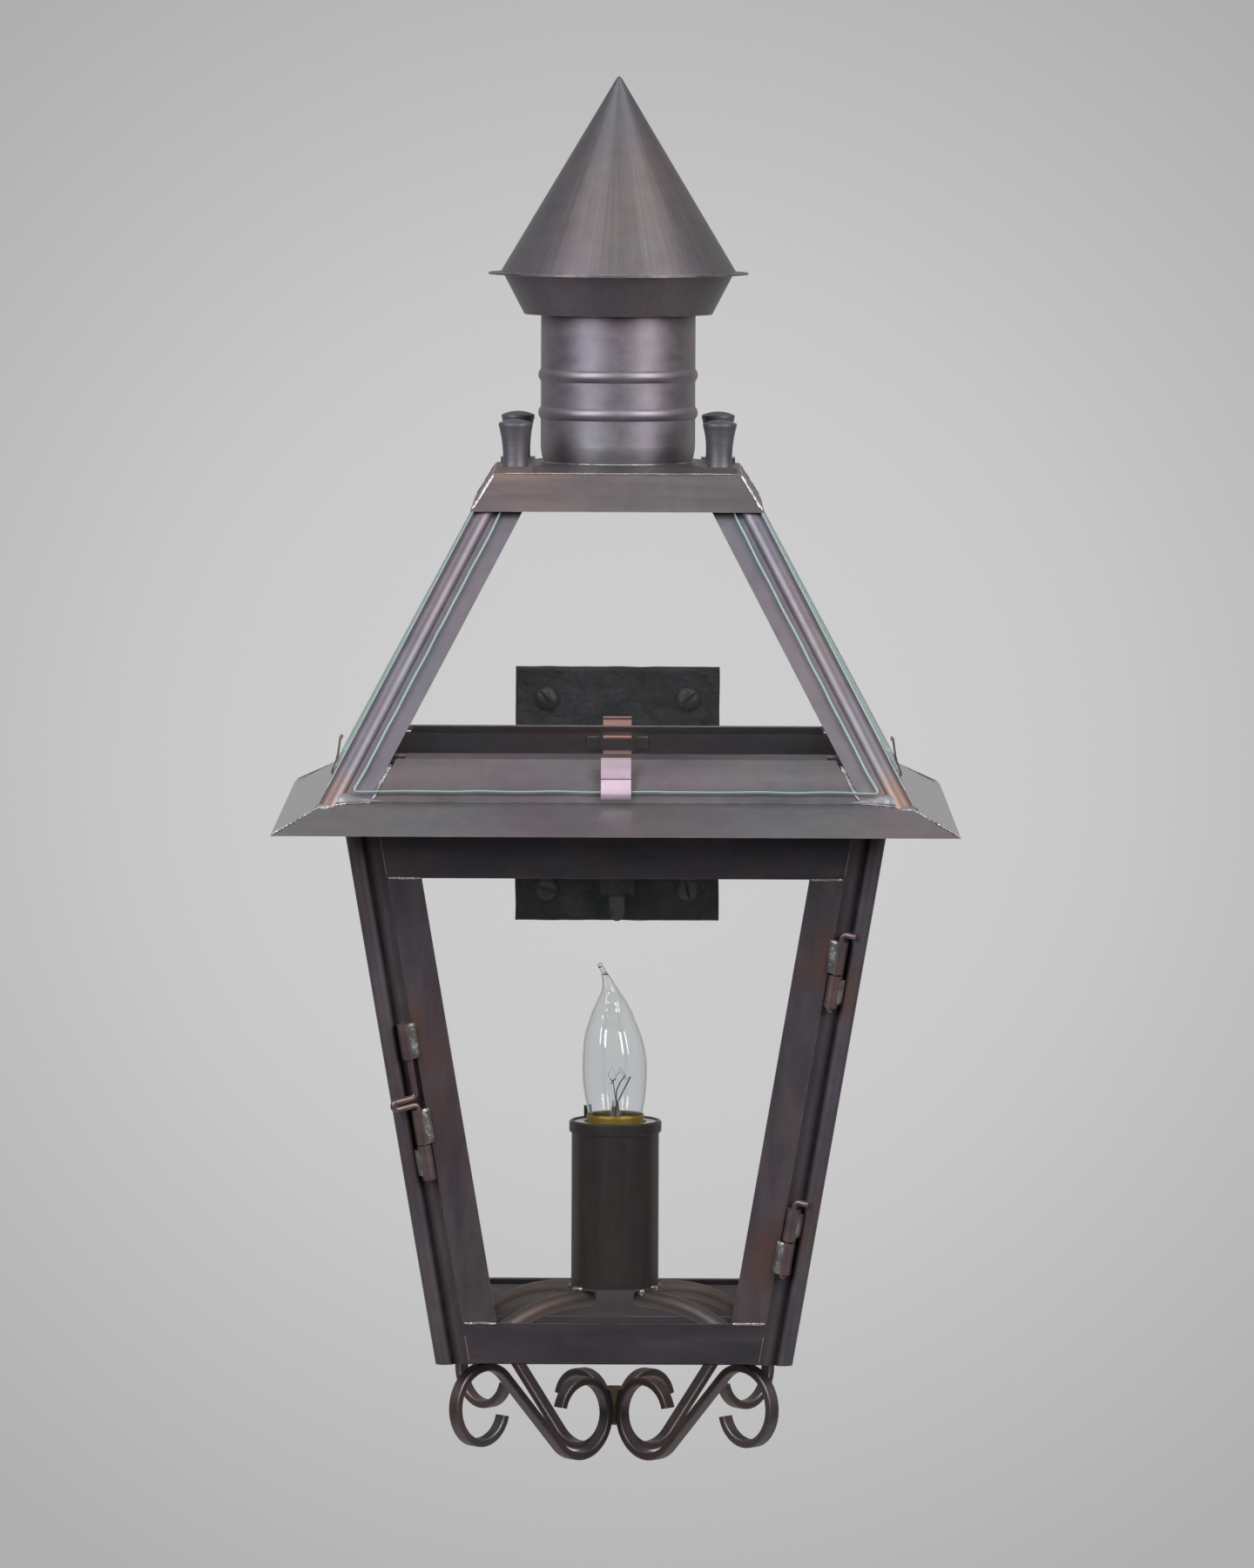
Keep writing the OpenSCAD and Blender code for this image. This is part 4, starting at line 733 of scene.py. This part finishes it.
# A round bar swept along points. radius may be a number or a function of the share of the way
def sweep(path, radius, sides=10):
    path = [Vector(p) for p in path]
    verts, faces = [], []
    side = None
    for i, p in enumerate(path):
        ahead = (path[min(i + 1, len(path) - 1)] - path[max(i - 1, 0)]).normalized()
        side = ahead.orthogonal() if side is None else side - ahead * side.dot(ahead)
        side.normalize()
        other = ahead.cross(side)
        r = radius(i / (len(path) - 1)) if callable(radius) else radius
        verts += [p + (side * math.cos(a) + other * math.sin(a)) * r for a in angles(sides)]
    faces = stack(0, len(path), sides)
    faces += [tuple(range(sides - 1, -1, -1)), tuple(range(len(verts) - sides, len(verts)))]
    return verts, faces


# Stem, lead wires, a small star support and the filament. Millimetres right of and above the
# foot of the glass
wires = {
    "leads": [[(0.4, 0.5), (0.4, 8), (0.5, 13), (2.2, 17), (4.6, 20.5)],
              [(-0.5, 0.5), (0.6, 6.5), (3.5, 12.6), (7.3, 20)]],
    "supports": [[(0, 9), (-0.6, 14), (-1.2, 17.5)], [(-1.2, 17.5), (-2.6, 18.6)],
                 [(-1.2, 17.5), (0.3, 18.9)], [(-1.2, 17.5), (-2.3, 16.2)]],
    "filament": [(4.6, 20.5), (2.4, 24.5), (0.2, 20.2), (-1.8, 25), (-3.6, 20.4), (-1.2, 18), (2.2, 22.5),
                 (5.2, 18.6), (7.3, 20)],
    "radius": 0.3,
    "fine": 0.12,
    "stem": 8.5,
    "stemFlare": 2.2,
    "stemTop": 1.4,
}


def bulbWires():
    base = Vector((0, axisY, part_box("bulb_glass")[0][2]))
    thick, fine = wires["radius"] / 1000, wires["fine"] / 1000

    def place(points, depth=0.0):
        return [base + Vector((x / 1000, depth, z / 1000)) for x, z in points]

    def stemRadius(t):
        return (wires["stemFlare"] * (1 - t) ** 2 + wires["stemTop"]) / 1000
    stem = place([(0, wires["stem"] * t) for t in (0, 0.2, 0.5, 0.8, 1)])
    parts =[(1, sweep(stem, stemRadius, 24))]
    parts += [(0, sweep(place(p), thick)) for p in wires["leads"]]
    parts += [(0, sweep(place(p, 0.001), thick / 1.4)) for p in wires["supports"]]
    parts.append((0, sweep(place(wires["filament"], -0.0005), fine, 6)))
    joinedPiece("bulbWires", parts, "bulb", "bulb_wire", ["bulbWire", "bulbGlass"], replaced=["bulb_stem"])


bulbWires()

# Gold collar round the foot of the glass. Radii, height and chamfers in millimetres
band = {"inner": 13.42, "outer": 13.75, "high": 2.1, "drop": 0.3, "edge": 0.1, "sides": 72}


def collarBand():
    foot = Vector((0, axisY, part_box("bulb_glass")[0][2]))
    inner, outer, high, n = band["inner"], band["outer"], band["high"], band["sides"]
    profile = ((inner, 0), (outer, 0), (outer, high - band["drop"]), (inner + band["edge"], high),
               (inner, high - band["drop"]))
    verts = [v for r, z in profile for v in circle(foot + Vector((0, 0, z / 1000)), r / 1000, n)]
    faces = [f for k in range(5) for f in bridge(k * n, (k + 1) % 5 * n, n)]
    newPiece("collarBand", verts, faces, "bulb", "cement", ["cement"], smooth=60)


collarBand()
print("stage: bulb made")

# Solder lumps in the corner between a tube and the door's edge or the post's bead. Both ends of
# the curve are sideways and outward from the tube's middle, in millimetres
lump = {
    "door": {"from": (1.5, 2.95), "to": (5.7, -0.05), "bulge": 0.75, "cut": 0.0, "taper": 0.12},
    "post": {"from": (-1.7, 2.8), "to": (-5.3, -0.9), "bulge": 0.5, "cut": 0.12, "taper": 0.3},
    "rough": 0.28,
    "step": 0.0007,
    "points": 14,
    "sink": 0.0002,
    "edgeSink": 0.0012,
}


def lumpMesh(side, low, high, shape, seed):
    across = hingeAxis.cross(doorOut).normalized()
    if across.x > 0:
        across.negate()
    start, stop = Vector(shape["from"]) / 1000, Vector(shape["to"]) / 1000
    normal = Vector((abs(stop.y - start.y), abs(stop.x - start.x))).normalized()
    if start.x < 0:
        normal.x = -normal.x
    cut = (high - low) * shape["cut"]
    low, high = low + cut, high - cut
    rows, m = max(6, round((high - low) / lump["step"])), lump["points"]
    verts = []
    for i in range(rows + 1):
        t = i / rows
        along = low + (high - low) * t
        end = min(1, min(t, 1 - t) / shape["taper"])
        size = math.sqrt(max(0, 1 - (1 - end) ** 2)) * 0.85 + 0.15
        for k in range(m + 1):
            u = k / m
            swell = shape["bulge"] / 1000 * math.sin(math.pi * u) * size
            grit = noise.noise(Vector((u * 4.1 + seed, along * 900, seed * 3))) * lump["rough"] / 1000
            sink = lump["sink"] if 0 < k < m else lump["edgeSink"]
            p = start + (stop - start) * (0.5 + (u - 0.5) * (0.8 + 0.2 * size))
            p = p + normal * (swell + grit * size - sink)
            verts.append(mirrored(hingeAt + hingeAxis * along + across * p.x + doorOut * p.y, side))
    faces = grid(rows, m)
    if (side > 0) != (start.x > 0):
        faces = [f[::-1] for f in faces]
    return verts, faces


def tubeSolder(name, body, kind, names):
    parts = []
    for side, spans in (tubes[node] for node in names):
        for i, (low, high) in enumerate(spans):
            parts.append((0, lumpMesh(side, low, high, lump[kind], len(parts) * 5.3 + i)))
    joinedPiece(name, parts, body, "copper_hardware", ["solder"], smooth=60)


doorOut = faceNormal("door_glass")
if doorOut.y > 0:
    doorOut.negate()
tubeSolder("doorTubeSolder", "door", "door", ("door_knuckles", "latch_guides"))
tubeSolder("postTubeSolder", "lantern", "post", ("post_knuckles", "latch_keeper"))
print("stage: tubes soldered")


# Geometry Nodes: a lumpy bead of solder along a path, thinner at both ends
def seamTree():
    tree = bpy.data.node_groups.new("solderSeam", "GeometryNodeTree")
    for label, kind in (("Path", "Geometry"), ("Radius", "Float"), ("Lumps", "Float"), ("Wander", "Float"),
                        ("Step", "Float"), ("Seed", "Float"), ("Finish", "Material")):
        tree.interface.new_socket(label, in_out="INPUT", socket_type="NodeSocket" + kind)
    tree.interface.new_socket("Seam", in_out="OUTPUT", socket_type="NodeSocketGeometry")
    ins, outs = tree.nodes.new("NodeGroupInput").outputs, tree.nodes.new("NodeGroupOutput").inputs

    def shape(kind, values, **settings):
        return addNode(tree, "GeometryNode" + kind, values, **settings).outputs[0]
    curve = shape("MeshToCurve", {"Mesh": ins["Path"]})
    curve = shape("ResampleCurve", {"Curve": curve, "Length": ins["Step"]}, mode="LENGTH")
    place = vectorCalc(tree, "ADD", shape("InputPosition", {}), ins["Seed"])[0]
    drift = noiseTexture(tree, place, 170.0, 2.0)["Color"]
    drift = vectorCalc(tree, "SUBTRACT", drift, (0.5, 0.5, 0.5))[0]
    offset = addNode(tree, "ShaderNodeVectorMath", {0: drift, "Scale": ins["Wander"]}, operation="SCALE")
    curve = shape("SetPosition", {"Geometry": curve, "Offset": offset.outputs[0]})
    share = tree.nodes.new("GeometryNodeSplineParameter").outputs["Factor"]
    away = calc(tree, "MINIMUM", share, calc(tree, "SUBTRACT", 1.0, share))
    small = noiseTexture(tree, place, 620.0, 2.0)[0]
    uneven = calc(tree, "MULTIPLY", calc(tree, "SUBTRACT", small, 0.5), ins["Lumps"])
    size = calc(tree, "MULTIPLY", ramp(tree, away, 0.0, 0.08, 0.25, 1.0), calc(tree, "ADD", 1.0, uneven))
    size = calc(tree, "MULTIPLY", ins["Radius"], size)
    ring = shape("CurvePrimitiveCircle", {"Resolution": 10, "Radius": 1.0})
    bead = shape("CurveToMesh", {"Curve": curve, "Profile Curve": ring, "Scale": size, "Fill Caps": True})
    bead = shape("RealizeInstances", {"Geometry": shape("SetShadeSmooth", {"Geometry": bead})})
    bead = shape("SetMaterial", {"Geometry": bead, "Material": ins["Finish"]})
    tree.links.new(bead, outs[0])
    return tree


solderSeam = seamTree()


def seams(name, body, mat, paths, radius, lumps=1.2, wander=0.0006, seed=0.0):
    verts, edges = [], []
    for path in paths:
        edges += [(len(verts) + i, len(verts) + i + 1) for i in range(len(path) - 1)]
        verts += [tuple(p) for p in path]
    mesh = bpy.data.meshes.new(name)
    mesh.from_pydata(verts, edges, [])
    obj = addObject(name, mesh)
    mod = obj.modifiers.new("solderSeam", "NODES")
    mod.node_group = solderSeam
    values = {"Radius": radius, "Lumps": lumps, "Wander": wander, "Step": max(0.0004, radius * 0.6),
              "Seed": seed, "Finish": finish[mat]}
    for item in solderSeam.interface.items_tree:
        if item.in_out == "INPUT" and item.name in values:
            mod[item.identifier] = values[item.name]
    bpy.context.view_layer.update()
    made = bpy.data.meshes.new_from_object(obj.evaluated_get(bpy.context.evaluated_depsgraph_get()))
    obj.modifiers.clear()
    obj.data = made
    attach(obj, body)


# A line from a to b at the given shares of its length
def line(a, b, shares):
    return [a + (b - a) * t for t in shares]


# Both corners of a door piece's front edge, at its top or its foot. end is max or min
def frontEdge(node, end, reach, depth):
    pts = corners(node)
    z = end(p.z for p in pts)
    level = [p for p in pts if abs(p.z - z) < reach]
    front = min(p.y for p in level)
    level = [p for p in level if p.y < front + depth]
    return [pick(level, key=lambda p: p.x) for pick in (min, max)]


# Seams of the door: across the stiles at both rails
def stileSeams():
    paths = []
    for node in ("door_hinge_stile", "door_latch_stile"):
        for end in (max, min):
            left, right = frontEdge(node, end, 0.0012, 0.0004)
            paths.append(line(left, right, (0.03, 0.35, 0.7, 0.97)))
    return paths


# Bright ends of the door's rails
def railEnds():
    paths = []
    for node, reach in (("door_top_rail", 1.0), ("door_bottom_rail", 0.7)):
        foot, top = (frontEdge(node, end, 0.0015, 0.0006) for end in (min, max))
        for low, high in zip(foot, top):
            paths.append(line(low, high, [t * reach for t in (0.05, 0.4, 0.7, 0.97)]))
    return paths


seams("doorCornerSolder", "door", "tin", stileSeams(), 0.0006, 1.9, 0.0009, 3.0)
seams("doorRailEnds", "door", "tabCopper", railEnds(), 0.0003, 1.0, 0.0002, 6.0)


# Half the width of a square node at a height
def halfAt(node, z, reach=0.0006):
    return max(abs(p.x) for p in corners(node) if abs(p.z - z) < reach)


def square(half, z, k):
    x, y = ((1, -1), (1, 1), (-1, 1), (-1, -1))[k % 4]
    return Vector((x * half, axisY + y * half, z))


def hipLines(lowHalf, low, topHalf, top):
    return [[square(lowHalf, low, k), square(topHalf, top, k)] for k in range(4)]


# Seams of the roof and the crown
eaveLo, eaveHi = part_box("eave_skirt")
crownTop = max(round(p.z, 4) for p in corners("crown_box") if abs(p.x) > 0.05)
roof = {
    "eaveHalf": eaveHi[0],
    "eaveLow": eaveLo[2],
    "eaveTop": eaveHi[2],
    "eaveTopHalf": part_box("top_frame")[1][0],
    "crownLowHalf": crownHi[0],
    "crownLow": crownLo[2],
    "crownTop": crownTop,
    "crownTopHalf": halfAt("crown_box", crownTop),
    "chimneyFoot": crownHi[2],
    "chimneyRadius": 0.0354,
}


def roofSeams():
    mitres = hipLines(roof["eaveHalf"] - 0.0006, roof["eaveLow"] + 0.0008, roof["eaveTopHalf"],
                      roof["eaveTop"] - 0.0003)
    front, back = [mitres[0], mitres[3]], mitres[1:3]
    seams("eaveMitresFront", "lantern", "tin", front, 0.00048, 1.3, 0.0004, 5.0)
    seams("eaveMitresBack", "lantern", "solder", back, 0.00025, 1.0, 0.0002, 5.5)
    half, top = roof["crownTopHalf"], roof["crownTop"]
    edges = [[square(half, top - 0.0001, k), square(half, top - 0.0001, k + 1)] for k in range(4)]
    seams("crownEdges", "lantern", "tin", edges, 0.0005, 1.1, 0.0004, 7.0)
    hips = hipLines(roof["crownLowHalf"] - 0.001, roof["crownLow"] + 0.0008, half - 0.0004, top)
    seams("crownHips", "lantern", "tin", hips, 0.0009, 1.2, 0.0005, 8.0)


roofSeams()

# Solder at the feet of the ribs: a smooth fillet between the eave's upper edge and the strip above it
patch = {
    "start": 0.0038,
    "reach": 0.0215,
    "drop": 0.0022,
    "climb": 0.0056,
    "rise": 0.0011,
    "sink": 0.0005,
    "columns": 30,
    "rows": 10,
    "rim": 24,  # columns with a bright rim
}


def footPatch(k, along, out, slope, lean, foot):
    corner = square(roof["eaveTopHalf"], roof["eaveTop"], k)
    base = out * (axisY - foot) - out * out.dot(corner - axis)
    down = out * slope.x + Vector((0, 0, slope.z))
    up = out * -lean.x + Vector((0, 0, lean.z))
    cols, rows = patch["columns"], patch["rows"]
    verts, faces, rim = [], [], []
    for i in range(cols + 1):
        t = i / cols
        grit = noise.noise(corner * 70 + Vector((t * 6, 0, k * 2.0)))
        place = corner + along * (patch["start"] + patch["reach"] * t)
        first = place + down * (patch["drop"] * (1 - t) ** 1.2 * (1 + 0.5 * grit) + 0.0003)
        last = place + base + up * (patch["climb"] * (1 - t) ** 0.8 + 0.0004)
        rim.append(first + Vector((0, 0, 0.0002)))
        for j in range(rows + 1):
            v = j / rows
            swell = patch["rise"] * math.sin(math.pi * v) ** 0.7 * (1 - 0.6 * t) * (1 + 0.4 * grit)
            sink = patch["sink"] if j in (0, rows) else 0
            verts.append(first + (last - first) * v + (out + Vector((0, 0, 0.6))) * (swell - sink))
    flip = along.cross(up).dot(out) < 0
    for i in range(cols):
        for j in range(rows):
            a = i * (rows + 1) + j
            face = (a, a + rows + 1, a + rows + 2, a + 1)
            faces.append(face[::-1] if flip else face)
    return verts, faces, rim[:patch["rim"]]


def footPatches():
    slope = Vector((roof["eaveHalf"] - roof["eaveTopHalf"], 0, roof["eaveLow"] - roof["eaveTop"]))
    front = [p for p in corners("roof_strips") if p.y < axisY and abs(p.x) < -(p.y - axisY)]
    low, high = min(p.z for p in front), max(p.z for p in front)
    foot = min(p.y for p in front if p.z < low + 0.001)
    head = min(p.y for p in front if p.z > high - 0.006)
    lean = Vector((head - foot, 0, high - low)).normalized()
    parts, edges = [], []
    for k in range(4):
        way = square(1, 0, k) - axis
        outX, outY = Vector((way.x, 0, 0)), Vector((0, way.y, 0))
        for along, out in ((-outX, outY), (-outY, outX)):
            verts, faces, rim = footPatch(k, along, out, slope.normalized(), lean, foot)
            parts.append((0, (verts, faces)))
            edges.append(rim)
    joinedPiece("ribFootPatches", parts, "lantern", "copper_body", ["patch"], smooth=60)
    seams("ribFootRims", "lantern", "tin", edges, 0.0004, 1.5, 0.0006, 4.0)


footPatches()


# Seams between the roof's strips and the ribs' flanges
def stripEnds():
    paths = []
    pts = corners("roof_strips")
    for sx, sy in ((1, -1), (1, 1), (-1, 1), (-1, -1)):
        for turned in (False, True):
            def sideways(p):
                return (p.y - axisY) * sy if turned else p.x * sx

            def outwards(p):
                return p.x * sx if turned else (p.y - axisY) * sy
            wall = [p for p in pts if outwards(p) > sideways(p) > 0.05]
            high, low = max(p.z for p in wall), min(p.z for p in wall)
            top = max((p for p in wall if p.z > high - 0.004), key=sideways)
            foot = max((p for p in wall if p.z < low + 0.001), key=sideways)
            out = Vector((0, sy, 0)) if turned else Vector((sx, 0, 0))
            paths.append([p + out * 0.0011 for p in line(top, foot, (0.12, 0.4, 0.7, 0.98))])
    return paths


seams("stripEndSolder", "lantern", "solder", stripEnds(), 0.00115, 1.4, 0.0011, 9.0)

# The folded edges of the strips run on to the ribs' flanges
hem = {"radius": 0.0013, "drop": 0.0014, "back": 0.001, "middle": 0.002, "reach": 0.0048}


def hemEnds():
    pts, parts = corners("roof_strips"), []
    for kx, ky in ((0, -1), (1, 0), (0, 1), (-1, 0)):
        out, along = Vector((kx, ky, 0)), Vector((ky, -kx, 0))
        wall = [p for p in pts if (p - axis).dot(out) > abs((p - axis).dot(along))]
        high = max(p.z for p in wall)
        level = [p for p in wall if p.z > high - 0.0012]
        for way in (along, -along):
            end = max((p - axis).dot(way) for p in level)
            tips = [p for p in level if (p - axis).dot(way) > end - 0.0006]
            deep = sum((p - axis).dot(out) for p in tips) / len(tips)
            start = axis + out * deep + way * end + Vector((0, 0, high - hem["drop"]))
            path = [start + way * step for step in (-hem["back"], hem["middle"], hem["reach"])]
            parts.append((0, sweep(path, hem["radius"], 12)))
    joinedPiece("hemEnds", parts, "lantern", "copper_body", ["copperBody"])


hemEnds()
chimneyFoot = circle(axis + Vector((0, 0, roof["chimneyFoot"])), roof["chimneyRadius"], 90)
seams("chimneyFootSeam", "lantern", "solder", [chimneyFoot + chimneyFoot[:1]], 0.0006, 0.8,
      0.0002, 11.0)

# Blobs of solder. Where the front arms meet the candle cover, the place is beside the axis, before it
# and above the cover's foot. Then the three radii, all in millimetres
blobs = {
    "arms": [((-17.5, -15.5, -0.3), (2.6, 1.8, 1.1)), ((19.0, -13.5, 0.2), (2.0, 1.6, 1.2)),
             ((13.0, -18.0, -1.6), (1.5, 1.2, 1.6))],
    "frontRib": (4.9, 4.9, 2.0),
    "backRib": (3.2, 3.2, 0.9),
    "ribIn": 2.2,
    "ribDown": 0.2,
}


def blobMesh(middle, radii, rows=10, cols=16):
    verts = []
    for i in range(1, rows):
        a = math.pi * i / rows
        for b in angles(cols):
            way = Vector((math.sin(a) * math.cos(b), math.sin(a) * math.sin(b), math.cos(a)))
            grow = 1 + 0.35 * noise.noise(way * 1.6 + middle * 300)
            verts.append(middle + Vector([w * r / 1000 * grow for w, r in zip(way, radii)]))
    pole = Vector((0, 0, radii[2] / 1000))
    verts += [middle + pole, middle - pole]
    faces = [f[::-1] for f in stack(0, rows - 1, cols)]
    top, end = len(verts) - 2, (rows - 2) * cols
    faces += [(top, j, (j + 1) % cols) for j in range(cols)]
    faces += [(top + 1, end + (j + 1) % cols, end + j) for j in range(cols)]
    return verts, faces


def armSolder():
    foot = axis + Vector((0, 0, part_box("candle_cover")[0][2]))
    parts = [(0, blobMesh(foot + Vector(place) / 1000, radii)) for place, radii in blobs["arms"]]
    joinedPiece("armSolder", parts, "lantern", "copper_arms", ["tin"], smooth=80)


# Solder round the ribs' feet, fuller in front
def ribFootSolder():
    parts = []
    for rib in ribNames:
        pts = corners(rib)
        low = min(p.z for p in pts)
        away = [abs(p.x) + abs(p.y - axisY) for p in pts if p.z < low + 0.0025]
        reach = max(away) / 2 - blobs["ribIn"] / 1000
        x, y = math.copysign(reach, pts[0].x), math.copysign(reach, pts[0].y - axisY)
        radii = blobs["frontRib"] if y < 0 else blobs["backRib"]
        parts.append((0, blobMesh(Vector((x, axisY + y, low - blobs["ribDown"] / 1000)), radii)))
    joinedPiece("ribFootSolder", parts, "lantern", "copper_body", ["patch"], smooth=80)


armSolder()
ribFootSolder()

# Rolled ends of the glass clips, brown partly from the copper and partly as painted shade, and a thin
# near-black line along each fold as painted shade; light lines of solder along the bridges' edges are painted
# highlights. A pair is the depth and the height of a place on the front clip
clip = {
    "half": 0.007,
    "end": (-0.3056, 0.0406),
    "roll": 0.0008,
    "fold": (-0.3077, 0.0315),
    "crease": 0.00022,
    "bridgeHalf": 0.0147,
    "bridgeIn": 0.0092,
    "bridgeLow": (-0.3043, 0.0259),
    "bridgeHigh": (-0.3012, 0.0315),
}


def clipFolds():
    parts, paths = [], []
    low, high = clip["bridgeLow"], clip["bridgeHigh"]
    for k in range(4):
        turn = Matrix.Rotation(math.pi / 2 * k, 3, "Z")

        def place(x, at):
            return turn @ Vector((x, at[0] - axisY, at[1])) + axis
        # The rolled end is brown copper with painted shade; each fold gets a near-black line of painted shade
        for mark, at, radius in ((0, clip["end"], clip["roll"]), (1, clip["fold"], clip["crease"])):
            parts.append((mark, sweep([place(clip["half"] * t, at) for t in (-1, 0, 1)], radius, 12)))
        for way in (-1, 1):
            outer, inner = clip["bridgeHalf"] * way, clip["bridgeIn"] * way
            paths.append([place(outer, low), place(outer, high), place(inner, high)])
    joinedPiece("clipFolds", parts, "lantern", "copper_clips", ["tabCopper", "bulbWire"])
    # Light lines along the bridges' edges, painted highlights
    seams("bridgeEdgeHighlights", "lantern", "solder", paths, 0.00022, 1.0, 0.0002, 12.0)


clipFolds()

# Wall plate: forged, uneven, with worn edges
plate = {
    "columns": 100,
    "rows": 124,
    "wave": 0.0007,
    "waveScale": 9,
    "dents": 0.0005,
    "dentScale": 42,
    "smallDents": 0.35,
    "smallScale": 150,
    "round": 0.0016,
}


def lift(*place):
    return 0.5 + 0.5 * noise.noise(Vector(place))


def platePoint(lo, hi, u, v):
    wave, scale = plate["wave"], plate["waveScale"]
    x0, x1 = lo[0] + wave * lift(v * scale, 1.0, 0), hi[0] - wave * lift(v * scale, 2.0, 0)
    z0, z1 = lo[2] + wave * lift(u * scale, 3.0, 0), hi[2] - wave * lift(u * scale, 4.0, 0)
    x, z = x0 + (x1 - x0) * u, z0 + (z1 - z0) * v
    near = min(1, min(x - x0, x1 - x, z - z0, z1 - z) / plate["round"])
    fall = plate["round"] * (1 - math.sqrt(max(0, 1 - (1 - near) ** 2)))
    big, small = plate["dentScale"], plate["smallScale"]
    dent = lift(x * big, z * big, 2) + plate["smallDents"] * lift(x * small, z * small, 5)
    return Vector((x, lo[1] + fall + plate["dents"] * dent, z))


def forgedPlate():
    lo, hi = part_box("wall_plate")
    cols, rows = plate["columns"], plate["rows"]
    verts = [platePoint(lo, hi, i / cols, j / rows) for j in range(rows + 1) for i in range(cols + 1)]

    def at(i, j):
        return j * (cols + 1) + i
    faces = grid(rows, cols)
    border = [at(i, 0) for i in range(cols + 1)] + [at(cols, j) for j in range(1, rows + 1)]
    border += [at(i, rows) for i in range(cols - 1, -1, -1)] + [at(0, j) for j in range(rows - 1, 0, -1)]
    start, n = len(verts), len(border)
    verts += [Vector((verts[k].x, hi[1], verts[k].z)) for k in border]
    faces += [(border[k], start + k, start + (k + 1) % n, border[(k + 1) % n]) for k in range(n)]
    faces.append(tuple(start + k for k in range(n - 1, -1, -1)))
    newPiece("forgedPlate", verts, faces, "lantern", "iron_black", ["ironBlack"], ["wall_plate"], smooth=50)


forgedPlate()
print("stage: seams and plate made")

# Floor and backdrop, outside the object. The backdrop glows brightest at its middle and dims outwards, a
# painted pool of light. Levels hold shares of the fade's length and shades of grey
backdrop = {
    "place": (0.0034, 1.2, -0.081),
    "half": 3.0,
    "floor": -1.6,
    "front": -1.6,
    "fade": 0.6,
    "levels": [(0, 0.625), (0.385, 0.597), (0.518, 0.571), (0.634, 0.533), (0.862, 0.468), (1.0, 0.429)],
}


# The backdrop is clear from behind, so that a camera there sees the lantern
def backdropGlow():
    mat, tree = newMaterial("backdropGlow")
    far = vectorCalc(tree, "LENGTH", objectPlace(tree))["Value"]
    shade = colorRamp(tree, ramp(tree, far, 0, backdrop["fade"]), backdrop["levels"])
    glow = addNode(tree, "ShaderNodeEmission", {"Color": shade, "Strength": 1.0}).outputs[0]
    back = tree.nodes.new("ShaderNodeNewGeometry").outputs["Backfacing"]
    clear = tree.nodes.new("ShaderNodeBsdfTransparent").outputs[0]
    toSurface(tree, addNode(tree, "ShaderNodeMixShader", {0: back, 1: glow, 2: clear}))
    return mat


def sheet(name, points, mat):
    mesh = bpy.data.meshes.new(name)
    mesh.from_pydata(points, [], [(0, 1, 2, 3)])
    mesh.materials.append(mat)
    obj = addObject(name, mesh)
    return obj


def makeBackdrop():
    h, low, front, back = backdrop["half"], backdrop["floor"], backdrop["front"], backdrop["place"][1]
    wall = sheet("backdropWall", [(-h, 0, -h), (h, 0, -h), (h, 0, h), (-h, 0, h)], backdropGlow())
    wall.location = backdrop["place"]
    floor = [(-h, front, low), (h, front, low), (h, back, low), (-h, back, low)]
    sheet("floorSheet", floor, plain("floorPaper", rgb(0.6, 0.6, 0.6), 0.8))


makeBackdrop()

# Sky, dim below and in front. A camera sees a pale, even one
sky = {
    "levels": [(0.0, 0.02), (0.45, 0.03), (0.56, 0.1), (0.75, 0.34), (1.0, 0.45)],
    "blue": 1.03,
    "seen": rgb(0.55, 0.55, 0.55),
    "strength": 1.0,
}


def makeSky():
    world = bpy.data.worlds.new("studio")
    world.use_nodes = True
    bpy.context.scene.world = world
    tree = world.node_tree
    way = splitVector(tree, tree.nodes.new("ShaderNodeTexCoord").outputs["Generated"])
    shade = colorRamp(tree, ramp(tree, way["Z"], -1.0, 1.0), sky["levels"], sky["blue"])
    rays = tree.nodes.new("ShaderNodeLightPath").outputs
    seen = calc(tree, "MAXIMUM", rays["Is Camera Ray"], rays["Is Transmission Ray"])
    background = tree.nodes["Background"]
    tree.links.new(mixColor(tree, seen, shade, sky["seen"]), background.inputs["Color"])
    background.inputs["Strength"].default_value = sky["strength"]


makeSky()

# Soft lamps at both sides and above: place, size in metres, watts and colour
lamps = {
    "keyLeft": ((-1.62, -1.95, 1.25), (1.35, 2.0), 74, (0.97, 0.98, 1.0)),
    "keyRight": ((1.66, -1.93, 1.25), (1.35, 2.0), 74, (1.0, 0.99, 0.97)),
    "topSoft": ((0, -0.3, 2.4), (2.2, 1.8), 8, (1, 1, 1)),
}


def areaLamp(name, place, size, watts, color):
    lamp = bpy.data.lights.new(name, "AREA")
    lamp.shape = "RECTANGLE"
    lamp.size, lamp.size_y = size
    lamp.energy = watts
    lamp.color = color
    obj = addObject(name, lamp)
    obj.location = place
    obj.rotation_euler = (axis - Vector(place)).to_track_quat("-Z", "Y").to_euler()
    obj.visible_camera = False


for name, values in lamps.items():
    areaLamp(name, *values)
print("stage: scene lit")
